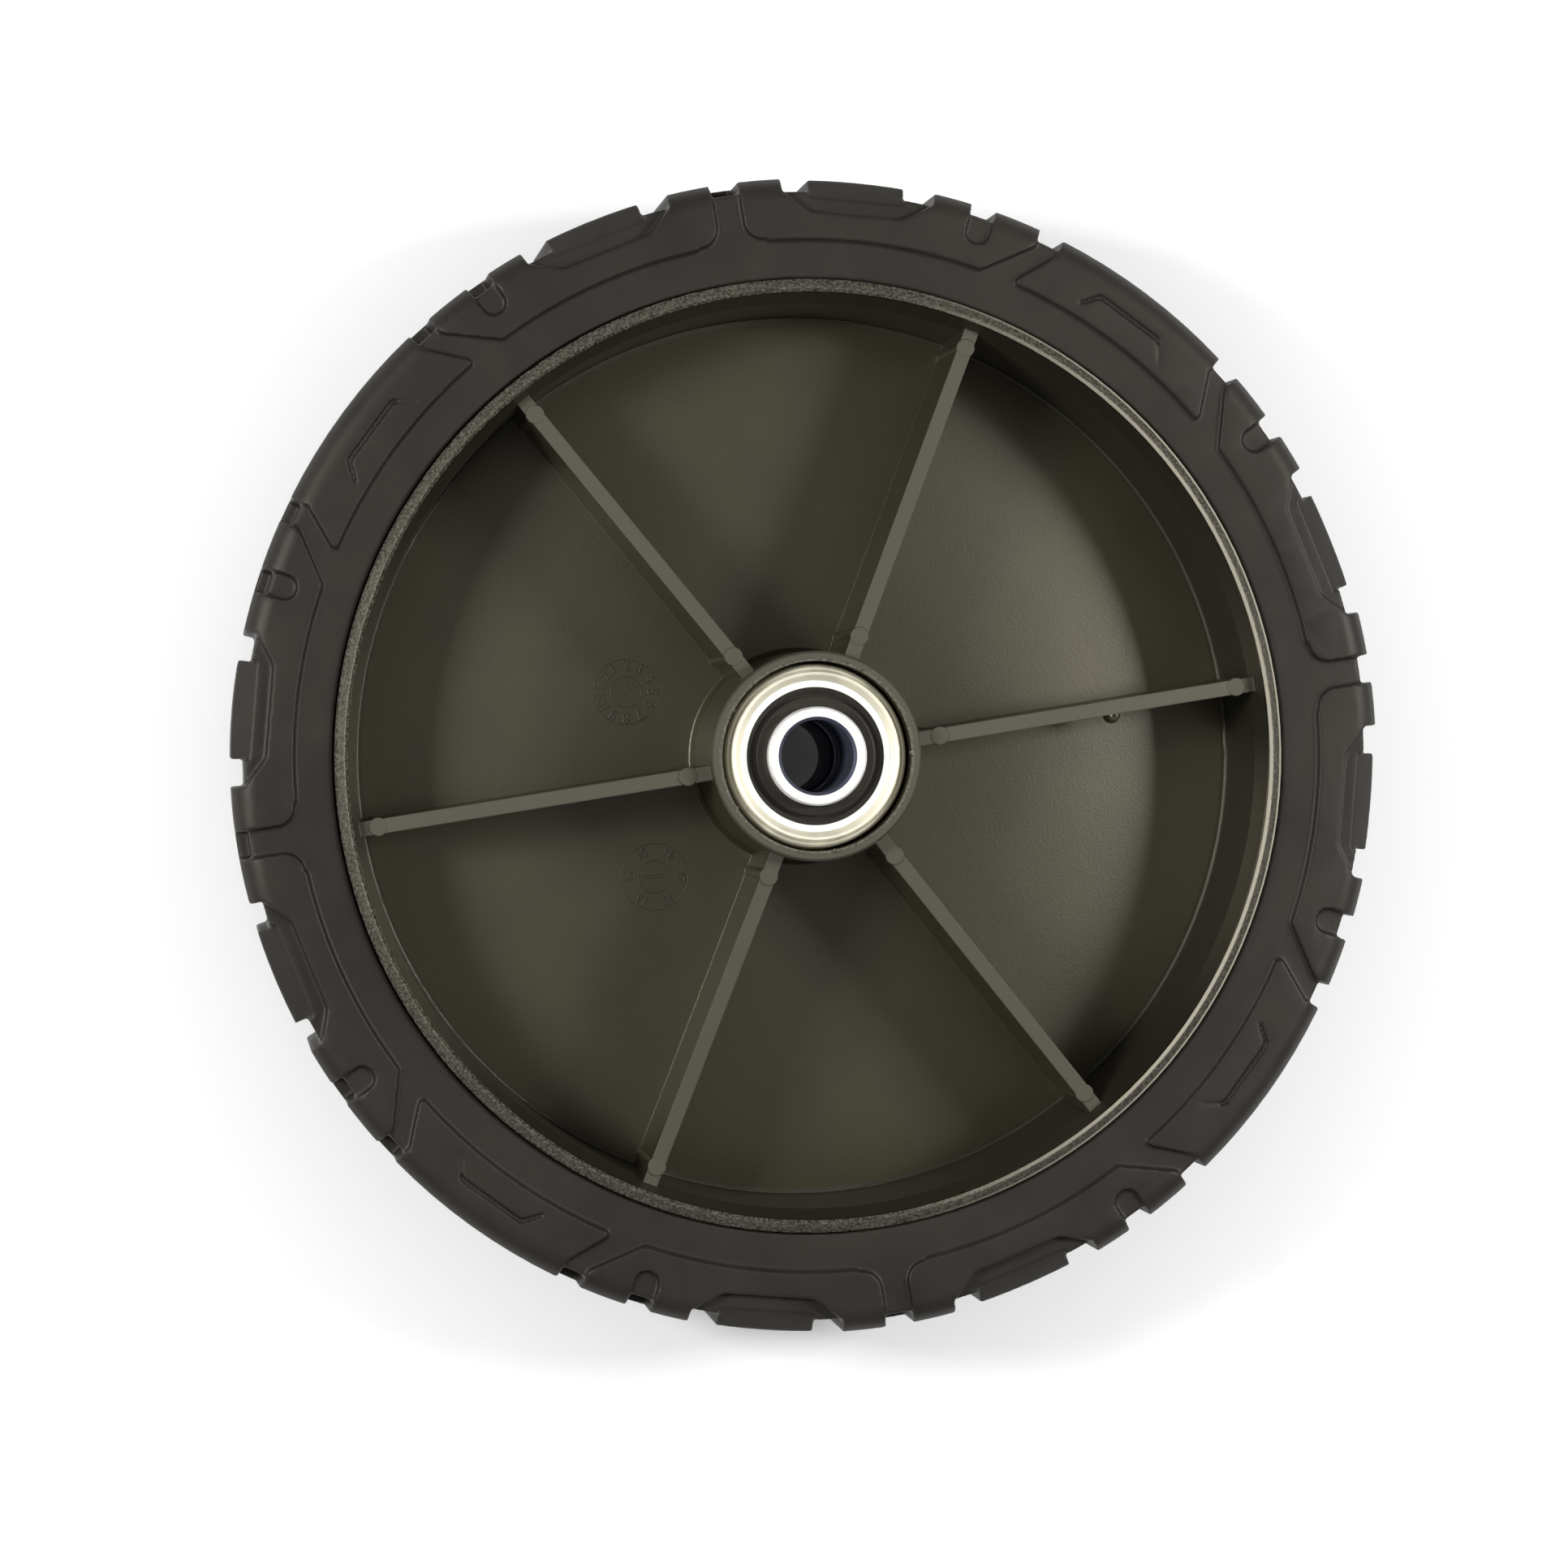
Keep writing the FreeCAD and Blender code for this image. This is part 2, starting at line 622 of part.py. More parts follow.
def build_cage(side):
    """The ring that spaces the balls, with a round pocket for each."""
    body = new_body(f"{side}_ball_cage")
    inner = "ball_pitch_radius - cage_half_wall"
    outer = "ball_pitch_radius + cage_half_wall"
    top = "-(ball_depth - cage_half_height)"
    bottom = "-(ball_depth + cage_half_height)"
    revolve(body, "cage_turned", [
        (inner, bottom),
        (outer, bottom),
        (outer, top),
        (inner, top),
    ])
    sketch = new_sketch(body, "pocket_outline", "YZ_Plane")
    draw_circle(sketch, "0", "-ball_depth", "ball_radius + cage_pocket_gap")
    hole = body.newObject("PartDesign::Pocket", "ball_pocket")
    hole.Profile = sketch
    hole.Reversed = True
    hole.setExpression("Length", bound(f"{outer} + pocket_overrun"))
    repeat(body, "ball_pockets", [hole], "ball_count")
    return place_bearing_piece(body, side)


def build_balls(side):
    """The loose balls of one bearing, each its own piece, in the middle of its cage pocket."""
    balls = []
    height = f"{side}_face - ({BEARING_DIRECTIONS[side]}) * ball_depth"
    for number in range(int(SIZES["ball_count"])):
        ball = doc.addObject("Part::Sphere", f"{side}_ball_{number + 1}")
        ball.Label = f"{side}_ball_{number + 1}"
        ball.setExpression("Radius", bound("ball_radius"))
        x, y = polar("ball_pitch_radius", f"{number} * 360 / ball_count")
        ball.setExpression("Placement.Base.x", bound(x))
        ball.setExpression("Placement.Base.y", bound(y))
        ball.setExpression("Placement.Base.z", bound(height))
        balls.append(ball)
    return balls


def build_bearing(side):
    """All pieces of the front or the rear bearing."""
    return [
        build_casing(side),
        build_outer_race(side),
        build_inner_race(side),
        build_washer("seal", side, "race_front + seal_recess", "seal_thickness"),
        build_washer("inner_shield", side,
                     "casing_floor - shield_inset - shield_thickness", "shield_thickness"),
        build_cage(side),
        *build_balls(side),
    ]


def build_spacer():
    """The tube that keeps the two inner races apart inside the hub."""
    body = new_body("spacer_tube")
    top = "front_face - inner_race_length"
    bottom = "rear_face + inner_race_length"
    revolve(body, "spacer_turned", [
        ("spacer_inner_radius", bottom),
        ("sleeve_radius", bottom),
        ("sleeve_radius", top),
        ("spacer_inner_radius", top),
    ])
    return body


def check_document(nodes):
    """Stop if any object of the document has failed, or a node isn't one valid solid."""
    for item in doc.Objects:
        if "Invalid" in item.State or "Error" in item.State:
            raise RuntimeError(f"{item.Name} didn't rebuild: {item.State}")
    for node in nodes:
        shape = node.Shape
        if shape.isNull() or not shape.isValid() or len(shape.Solids) != 1 or shape.Volume <= 0:
            raise RuntimeError(f"{node.Label} isn't one valid solid")


nodes = [build_rim(), build_tyre(), build_spacer(), *build_bearing("front"), *build_bearing("rear")]
doc.recompute()
check_document(nodes)
os.makedirs("parts", exist_ok=True)
for node in nodes:
    node.Shape.exportStep(f"parts/{node.Label}.step")
    print(f"{node.Label}: {node.Shape.Volume:.1f} cubic millimetres")
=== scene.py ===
"""Looks of a lawn mower wheel: its moulded rim, rubber tyre and two ball bearings, lying on a pale table."""

from __future__ import annotations

import logging
import math
from dataclasses import dataclass, field
from enum import Enum
from typing import Any, Mapping, Sequence

import bpy
from mathutils import Matrix, Vector

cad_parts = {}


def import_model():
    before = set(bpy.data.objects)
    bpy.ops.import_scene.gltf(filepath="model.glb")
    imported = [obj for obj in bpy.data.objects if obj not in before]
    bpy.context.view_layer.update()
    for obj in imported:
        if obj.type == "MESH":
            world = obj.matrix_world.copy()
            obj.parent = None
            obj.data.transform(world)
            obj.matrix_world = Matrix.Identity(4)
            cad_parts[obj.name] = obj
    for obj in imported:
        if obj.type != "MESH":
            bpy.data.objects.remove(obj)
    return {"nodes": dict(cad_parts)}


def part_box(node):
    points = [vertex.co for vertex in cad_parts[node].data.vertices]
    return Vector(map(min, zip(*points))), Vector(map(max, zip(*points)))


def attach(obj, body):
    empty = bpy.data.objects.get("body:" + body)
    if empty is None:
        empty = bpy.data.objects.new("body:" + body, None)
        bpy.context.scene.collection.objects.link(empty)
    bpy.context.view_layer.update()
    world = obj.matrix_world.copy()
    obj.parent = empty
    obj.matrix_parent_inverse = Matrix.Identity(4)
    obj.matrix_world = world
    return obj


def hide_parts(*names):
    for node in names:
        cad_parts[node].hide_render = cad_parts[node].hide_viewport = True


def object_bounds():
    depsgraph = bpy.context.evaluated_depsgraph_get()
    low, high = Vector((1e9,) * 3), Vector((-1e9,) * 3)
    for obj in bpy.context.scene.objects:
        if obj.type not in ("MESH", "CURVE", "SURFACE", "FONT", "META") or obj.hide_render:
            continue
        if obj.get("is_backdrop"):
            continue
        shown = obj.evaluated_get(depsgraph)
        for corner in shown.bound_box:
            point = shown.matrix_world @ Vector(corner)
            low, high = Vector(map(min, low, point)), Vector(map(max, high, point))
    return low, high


LOG = logging.getLogger("mower_wheel")
MM = 0.001

# Numbers of the sockets of a Mix node that mixes colours.
MIX_FACTOR, MIX_FIRST, MIX_SECOND, MIX_RESULT = 0, 6, 7, 2

# Nearly all of a noise texture's values lie between these.
NOISE_LOW, NOISE_HIGH = 0.3, 0.7


def linear(hex_colour: str) -> tuple[float, float, float, float]:
    """Turn an sRGB hex colour into linear RGBA.

    Args:
        hex_colour: Six hex digits, such as "3a372c".

    Returns:
        The linear red, green and blue, with alpha 1.
    """
    parts = [int(hex_colour[start:start + 2], 16) / 255 for start in (0, 2, 4)]
    red, green, blue = (
        part / 12.92 if part <= 0.04045 else ((part + 0.055) / 1.055) ** 2.4 for part in parts
    )
    return red, green, blue, 1.0


def add_node(
    tree: bpy.types.NodeTree,
    kind: str,
    values: Mapping[str | int, Any] | None = None,
    links: Mapping[str | int, bpy.types.NodeSocket] | None = None,
    **settings: Any,
) -> bpy.types.Node:
    """Add a node with its settings, socket values and links.

    Args:
        tree: The node tree that gets the node.
        kind: The node's type name.
        values: Values of input sockets, by name or number.
        links: Sockets that feed the inputs, by name or number.
        **settings: Properties of the node itself.

    Returns:
        The new node.
    """
    node = tree.nodes.new(kind)
    for name, setting in settings.items():
        setattr(node, name, setting)
    for socket, value in (values or {}).items():
        node.inputs[socket].default_value = value
    for socket, source in (links or {}).items():
        tree.links.new(source, node.inputs[socket])
    return node


def new_material(name: str) -> bpy.types.Material:
    """Make an empty node material.

    Args:
        name: The material's name.

    Returns:
        The new material, with no nodes.
    """
    material = bpy.data.materials.new(name)
    material.use_nodes = True
    material.node_tree.nodes.clear()
    return material


def dress(piece: bpy.types.Object, material: bpy.types.Material) -> None:
    """Give every face of a piece one material.

    Args:
        piece: The piece.
        material: Its finish.
    """
    if not piece.material_slots:
        piece.data.materials.append(material)
    for material_slot in piece.material_slots:
        material_slot.material = material


def soften(piece: bpy.types.Object, cell_mm: float, passes: int, most_triangles: int) -> None:
    """Round the edges of a solid as a mould does, with modifiers alone.

    Args:
        piece: The solid.
        cell_mm: Size of the cells that its skin is built again from.
        passes: How many times the skin is relaxed, which sets how round an edge gets.
        most_triangles: The skin is thinned to about this many, where it is flat first.
    """
    skin = piece.modifiers.new("new_skin", "REMESH")
    skin.mode = "VOXEL"
    skin.voxel_size = cell_mm * MM
    skin.use_smooth_shade = True
    relaxed = piece.modifiers.new("relaxed", "SMOOTH")
    relaxed.factor = 0.5
    relaxed.iterations = passes
    bpy.context.view_layer.update()
    skinned = piece.evaluated_get(bpy.context.evaluated_depsgraph_get()).data
    skinned.calc_loop_triangles()
    triangles = len(skinned.loop_triangles)
    if triangles > most_triangles:
        thinned = piece.modifiers.new("thinned", "DECIMATE")
        thinned.ratio = most_triangles / triangles
    LOG.info("%s: skin of %d triangles, at most %d kept", piece.name, triangles, most_triangles)


def outline(corners: Sequence[tuple[float, ...]], steps: int = 5) -> list[tuple[float, float]]:
    """Round the corners of a closed outline.

    Args:
        corners: Radius and height of each corner in millimetres, and its rounding where it has one.
        steps: Straight runs along each rounding.

    Returns:
        Radius and height of each point, in metres.
    """
    points: list[tuple[float, float]] = []
    for index, (radius, height, *rounding) in enumerate(corners):
        here = Vector((radius, height))
        if not rounding:
            points.append(tuple(here * MM))
            continue
        back = (Vector(corners[index - 1][:2]) - here).normalized()
        ahead = (Vector(corners[(index + 1) % len(corners)][:2]) - here).normalized()
        half_angle = back.angle(ahead) / 2
        centre = here + (back + ahead).normalized() * rounding[0] / math.sin(half_angle)
        start = here + back * rounding[0] / math.tan(half_angle) - centre
        end = here + ahead * rounding[0] / math.tan(half_angle) - centre
        for step in range(steps + 1):
            points.append(tuple((centre + start.slerp(end, step / steps)) * MM))
    return points


def turned(name: str, profile: Sequence[tuple[float, float]], segments: int = 180) -> bpy.types.Object:
    """Turn a closed outline once round the Z axis.

    Args:
        name: Name of the new piece.
        profile: Radius and height of each point of the outline, in metres.
        segments: Straight runs round the axis.

    Returns:
        The new piece, linked to the scene.
    """
    count = len(profile)
    vertices = [
        (radius * math.cos(angle), radius * math.sin(angle), height)
        for angle in (math.tau * turn / segments for turn in range(segments))
        for radius, height in profile
    ]
    faces = [
        (turn * count + point, (turn + 1) % segments * count + point,
         (turn + 1) % segments * count + (point + 1) % count, turn * count + (point + 1) % count)
        for turn in range(segments)
        for point in range(count)
    ]
    mesh = bpy.data.meshes.new(name)
    mesh.from_pydata(vertices, [], faces)
    mesh.shade_smooth()
    piece = bpy.data.objects.new(name, mesh)
    bpy.context.scene.collection.objects.link(piece)
    piece.modifiers.new("flat_faces_first", "WEIGHTED_NORMAL").keep_sharp = True
    return piece


class Side(Enum):
    """The two ends of the hub, with the sign of the way out of each."""

    FRONT = 1
    REAR = -1

    @property
    def prefix(self) -> str:
        """The start of the names of this end's nodes."""
        return self.name.lower()


@dataclass(frozen=True)
class RimPlaces:
    """What the rim's finish asks of a point. A mask is 1 where its name says and 0 elsewhere."""

    point: bpy.types.NodeSocket
    radius: bpy.types.NodeSocket
    on_edge: bpy.types.NodeSocket
    on_wall: bpy.types.NodeSocket
    on_lip: bpy.types.NodeSocket
    on_lip_corner: bpy.types.NodeSocket
    on_rubbed_side: bpy.types.NodeSocket


@dataclass(frozen=True)
class MouldedPolypropylene:
    """Olive-black polypropylene, injection moulded in a spark-eroded tool.

    The spark erosion leaves a fine grain that spreads each lamp into a soft glow over the web. The flat edges
    that hands and ground reach are drier and greyer, and their outermost lips are scuffed pale. The lips'
    level corners on the right get a pale painted highlight, toward the right-hand lamp, and the drum's steep
    wall gets a much darker colour, which is painted shade.

    Polypropylene's IOR is about 1.49. A higher one and the full specular level match the sheen seen on this
    wheel. The real grain is about 0.1 mm wide and is drawn coarser, so that it shows.
    """

    name: str = "moulded_polypropylene"
    recess_colour: str = "2a2718"
    # Painted shade: the drum's inner wall gets this much darker colour, for the shade in the deep drum.
    wall_colour: str = "100f09"
    edge_colour: str = "25231c"
    scuff_colour: str = "8a857b"
    # Painted highlight: the pale colour of the lips' corners on the right, toward the right-hand lamp.
    rubbed_colour: str = "bdb7a6"
    gloss_tint: str = "fff9e2"
    specular: float = 1.0
    ior: float = 1.62
    recess_roughness: float = 0.35
    wall_roughness: float = 0.45
    edge_roughness: float = 0.66
    lip_roughness: float = 0.44
    corner_roughness: float = 0.25
    grain_mm: float = 0.45
    grain_depth_mm: float = 0.035
    grain_strength: float = 0.6
    cloud_mm: float = 16.0
    darkest_cloud: float = 0.84
    lightest_cloud: float = 1.14
    scuff_mm: float = 0.5
    first_scuff: float = 0.42
    last_scuff: float = 0.74
    most_scuffed: float = 0.75
    edge_rounding_mm: float = 0.3
    edge_height_mm: float = 14.0
    edge_slope: float = 0.55
    mouth_radius_mm: float = 17.2
    wall_radius_mm: float = 78.2
    lip_radius_mm: float = 81.2
    lip_crown_start_mm: float = 81.9
    lip_crown_end_mm: float = 83.3
    # Along X between these two distances, the painted highlight on the lips' corners fades in.
    rubbed_side_start_mm: float = 15.0
    rubbed_side_end_mm: float = 65.0

    def material(self) -> bpy.types.Material:
        """Build the material.

        Returns:
            The finished material.
        """
        made = new_material(self.name)
        tree = made.node_tree
        places = self.places(tree)
        shader = add_node(
            tree, "ShaderNodeBsdfPrincipled",
            {"IOR": self.ior, "Specular IOR Level": self.specular, "Specular Tint": linear(self.gloss_tint)},
            {
                "Base Color": self.colour(tree, places),
                "Roughness": self.roughness(tree, places),
                "Normal": self.normal(tree, places),
            },
        )
        add_node(tree, "ShaderNodeOutputMaterial", links={"Surface": shader.outputs["BSDF"]})
        return made

    def places(self, tree: bpy.types.NodeTree) -> RimPlaces:
        """Tell the rim's surfaces apart by height, radius and slope.

        Args:
            tree: The material's node tree.

        Returns:
            The point, its radius and the masks.
        """
        coordinates = add_node(tree, "ShaderNodeTexCoord").outputs
        point = coordinates["Object"]
        axes = add_node(tree, "ShaderNodeSeparateXYZ", links={"Vector": point}).outputs
        facing = add_node(tree, "ShaderNodeSeparateXYZ", links={"Vector": coordinates["Normal"]}).outputs
        across = add_node(tree, "ShaderNodeCombineXYZ", links={"X": axes["X"], "Y": axes["Y"]})
        length = add_node(tree, "ShaderNodeVectorMath", links={0: across.outputs[0]}, operation="LENGTH")
        radius = length.outputs["Value"]
        height = add_node(tree, "ShaderNodeMath", links={0: axes["Z"]}, operation="ABSOLUTE")
        slope = add_node(tree, "ShaderNodeMath", links={0: facing["Z"]}, operation="ABSOLUTE")
        is_high = add_node(
            tree, "ShaderNodeMath", {1: self.edge_height_mm * MM}, {0: height.outputs[0]},
            operation="GREATER_THAN",
        )
        is_level = add_node(
            tree, "ShaderNodeMath", {1: self.edge_slope}, {0: slope.outputs[0]}, operation="GREATER_THAN"
        )
        on_edge = add_node(
            tree, "ShaderNodeMath", links={0: is_high.outputs[0], 1: is_level.outputs[0]},
            operation="MULTIPLY",
        )
        on_wall = add_node(
            tree, "ShaderNodeMath", {1: self.wall_radius_mm * MM}, {0: radius}, operation="GREATER_THAN"
        )
        on_lip = add_node(
            tree, "ShaderNodeMath", {1: self.lip_radius_mm * MM}, {0: radius}, operation="GREATER_THAN"
        )
        crown_middle = (self.lip_crown_start_mm + self.lip_crown_end_mm) / 2 * MM
        crown_reach = (self.lip_crown_end_mm - self.lip_crown_start_mm) / 2 * MM
        on_crown = add_node(
            tree, "ShaderNodeMath", {1: crown_middle, 2: crown_reach}, {0: radius}, operation="COMPARE"
        )
        on_corner = add_node(
            tree, "ShaderNodeMath", links={0: on_lip.outputs[0], 1: on_crown.outputs[0]}, operation="SUBTRACT"
        )
        # Painted highlight side: 0 on the left, rising to 1 toward the right-hand lamp.
        on_side = add_node(
            tree, "ShaderNodeMapRange",
            {"From Min": self.rubbed_side_start_mm * MM, "From Max": self.rubbed_side_end_mm * MM},
            {"Value": axes["X"]},
        )
        return RimPlaces(
            point=point, radius=radius, on_edge=on_edge.outputs[0], on_wall=on_wall.outputs[0],
            on_lip=on_lip.outputs[0], on_lip_corner=on_corner.outputs[0],
            on_rubbed_side=on_side.outputs["Result"],
        )

    def colour(self, tree: bpy.types.NodeTree, places: RimPlaces) -> bpy.types.NodeSocket:
        """Cloud the colours, paint shade on the drum's wall, scuff the edges and paint highlights on lip
        corners.

        Args:
            tree: The material's node tree.
            places: Where the point is.

        Returns:
            The socket with the colour.
        """
        clouds = add_node(
            tree, "ShaderNodeTexNoise", {"Scale": 1 / (self.cloud_mm * MM), "Detail": 3.0},
            {"Vector": places.point},
        )
        shade = add_node(
            tree, "ShaderNodeMapRange",
            {
                "From Min": NOISE_LOW, "From Max": NOISE_HIGH,
                "To Min": self.darkest_cloud, "To Max": self.lightest_cloud,
            },
            {"Value": clouds.outputs["Fac"]},
        )
        # The drum's inner wall gets its darker colour here, which is painted shade.
        inside = add_node(
            tree, "ShaderNodeMix",
            {MIX_FIRST: linear(self.recess_colour), MIX_SECOND: linear(self.wall_colour)},
            {MIX_FACTOR: places.on_wall}, data_type="RGBA",
        )
        moulded = add_node(
            tree, "ShaderNodeMix", {MIX_SECOND: linear(self.edge_colour)},
            {MIX_FACTOR: places.on_edge, MIX_FIRST: inside.outputs[MIX_RESULT]}, data_type="RGBA",
        )
        clouded = add_node(
            tree, "ShaderNodeVectorMath", links={0: moulded.outputs[MIX_RESULT], 1: shade.outputs["Result"]},
            operation="MULTIPLY",
        )
        scuffed = add_node(
            tree, "ShaderNodeMix", {MIX_SECOND: linear(self.scuff_colour)},
            {MIX_FACTOR: self.scuffs(tree, places), MIX_FIRST: clouded.outputs[0]}, data_type="RGBA",
        )
        # Painted highlight: the lips' level corners turn pale on the right, where the right-hand lamp glints.
        highlight_corner_mask = add_node(
            tree, "ShaderNodeMath", links={0: places.on_lip_corner, 1: places.on_edge}, operation="MULTIPLY"
        )
        highlight_mask = add_node(
            tree, "ShaderNodeMath", links={0: highlight_corner_mask.outputs[0], 1: places.on_rubbed_side},
            operation="MULTIPLY",
        )
        with_painted_highlight = add_node(
            tree, "ShaderNodeMix", {MIX_SECOND: linear(self.rubbed_colour)},
            {MIX_FACTOR: highlight_mask.outputs[0], MIX_FIRST: scuffed.outputs[MIX_RESULT]}, data_type="RGBA",
        )
        return with_painted_highlight.outputs[MIX_RESULT]

    def scuffs(self, tree: bpy.types.NodeTree, places: RimPlaces) -> bpy.types.NodeSocket:
        """Say how scuffed the lips and the hub's mouth are.

        Args:
            tree: The material's node tree.
            places: Where the point is.

        Returns:
            The socket with 1 where the plastic is scuffed through.
        """
        near_mouth = add_node(
            tree, "ShaderNodeMath", {1: self.mouth_radius_mm * MM}, {0: places.radius}, operation="LESS_THAN"
        )
        exposed = add_node(
            tree, "ShaderNodeMath", links={0: places.on_lip, 1: near_mouth.outputs[0]}, operation="MAXIMUM"
        )
        speckle = add_node(
            tree, "ShaderNodeTexNoise", {"Scale": 1 / (self.scuff_mm * MM), "Detail": 5.0, "Roughness": 0.65},
            {"Vector": places.point},
        )
        depth = add_node(
            tree, "ShaderNodeMapRange",
            {"From Min": self.first_scuff, "From Max": self.last_scuff, "To Max": self.most_scuffed},
            {"Value": speckle.outputs["Fac"]},
        )
        exposed_depth = add_node(
            tree, "ShaderNodeMath", links={0: exposed.outputs[0], 1: depth.outputs["Result"]},
            operation="MULTIPLY",
        )
        scuffed = add_node(
            tree, "ShaderNodeMath", links={0: places.on_edge, 1: exposed_depth.outputs[0]},
            operation="MULTIPLY",
        )
        return scuffed.outputs[0]

    def roughness(self, tree: bpy.types.NodeTree, places: RimPlaces) -> bpy.types.NodeSocket:
        """Make the recess silky, the edges dry and the lips' corners smooth.

        Args:
            tree: The material's node tree.
            places: Where the point is.

        Returns:
            The socket with the roughness.
        """
        inside = add_node(
            tree, "ShaderNodeMapRange", {"To Min": self.recess_roughness, "To Max": self.wall_roughness},
            {"Value": places.on_wall},
        )
        found = inside.outputs["Result"]
        for mask, value in (
            (places.on_edge, self.edge_roughness),
            (places.on_lip, self.lip_roughness),
            (places.on_lip_corner, self.corner_roughness),
        ):
            step = add_node(tree, "ShaderNodeMapRange", {"To Max": value}, {"Value": mask, "To Min": found})
            found = step.outputs["Result"]
        return found

    def normal(self, tree: bpy.types.NodeTree, places: RimPlaces) -> bpy.types.NodeSocket:
        """Round the moulding's sharp edges and lay the grain over it.

        Args:
            tree: The material's node tree.
            places: Where the point is.

        Returns:
            The socket with the normal.
        """
        grain = add_node(
            tree, "ShaderNodeTexNoise", {"Scale": 1 / (self.grain_mm * MM), "Detail": 3.0},
            {"Vector": places.point},
        )
        rounded = add_node(tree, "ShaderNodeBevel", {"Radius": self.edge_rounding_mm * MM}, samples=4)
        bump = add_node(
            tree, "ShaderNodeBump", {"Strength": self.grain_strength, "Distance": self.grain_depth_mm * MM},
            {"Height": grain.outputs["Fac"], "Normal": rounded.outputs["Normal"]},
        )
        return bump.outputs["Normal"]


@dataclass(frozen=True)
class VulcanisedRubber:
    """Black rubber, press moulded and vulcanised.

    Its dry skin keeps highlights wide and dull, and a cloudy bloom and faint flow marks lighten it in places.
    The skin's pits are finer than 0.7 mm and are drawn that coarse, so that they show.
    """

    name: str = "vulcanised_rubber"
    colour: str = "22201c"
    bloom_colour: str = "2c2925"
    gloss_tint: str = "fff9f0"
    roughness: float = 0.50
    smoother_by: float = 0.06
    rougher_by: float = 0.08
    specular: float = 0.32
    ior: float = 1.52
    skin_mm: float = 0.7
    skin_depth_mm: float = 0.04
    skin_strength: float = 0.25
    cloud_mm: float = 22.0
    bloom_start: float = 0.35

    def material(self) -> bpy.types.Material:
        """Build the material.

        Returns:
            The finished material.
        """
        made = new_material(self.name)
        tree = made.node_tree
        place = add_node(tree, "ShaderNodeTexCoord").outputs["Object"]
        clouds = add_node(
            tree, "ShaderNodeTexNoise",
            {"Scale": 1 / (self.cloud_mm * MM), "Detail": 5.0, "Roughness": 0.6, "Distortion": 0.6},
            {"Vector": place},
        )
        skin = add_node(
            tree, "ShaderNodeTexNoise", {"Scale": 1 / (self.skin_mm * MM), "Detail": 3.0}, {"Vector": place}
        )
        bloom = add_node(
            tree, "ShaderNodeMapRange", {"From Min": self.bloom_start, "From Max": NOISE_HIGH},
            {"Value": clouds.outputs["Fac"]},
        )
        colour = add_node(
            tree, "ShaderNodeMix", {MIX_FIRST: linear(self.colour), MIX_SECOND: linear(self.bloom_colour)},
            {MIX_FACTOR: bloom.outputs["Result"]}, data_type="RGBA",
        )
        roughness = add_node(
            tree, "ShaderNodeMapRange",
            {"To Min": self.roughness - self.smoother_by, "To Max": self.roughness + self.rougher_by},
            {"Value": clouds.outputs["Fac"]},
        )
        bump = add_node(
            tree, "ShaderNodeBump", {"Strength": self.skin_strength, "Distance": self.skin_depth_mm * MM},
            {"Height": skin.outputs["Fac"]},
        )
        shader = add_node(
            tree, "ShaderNodeBsdfPrincipled",
            {"IOR": self.ior, "Specular IOR Level": self.specular, "Specular Tint": linear(self.gloss_tint)},
            {
                "Base Color": colour.outputs[MIX_RESULT],
                "Roughness": roughness.outputs["Result"],
                "Normal": bump.outputs["Normal"],
            },
        )
        add_node(tree, "ShaderNodeOutputMaterial", links={"Surface": shader.outputs["BSDF"]})
        return made


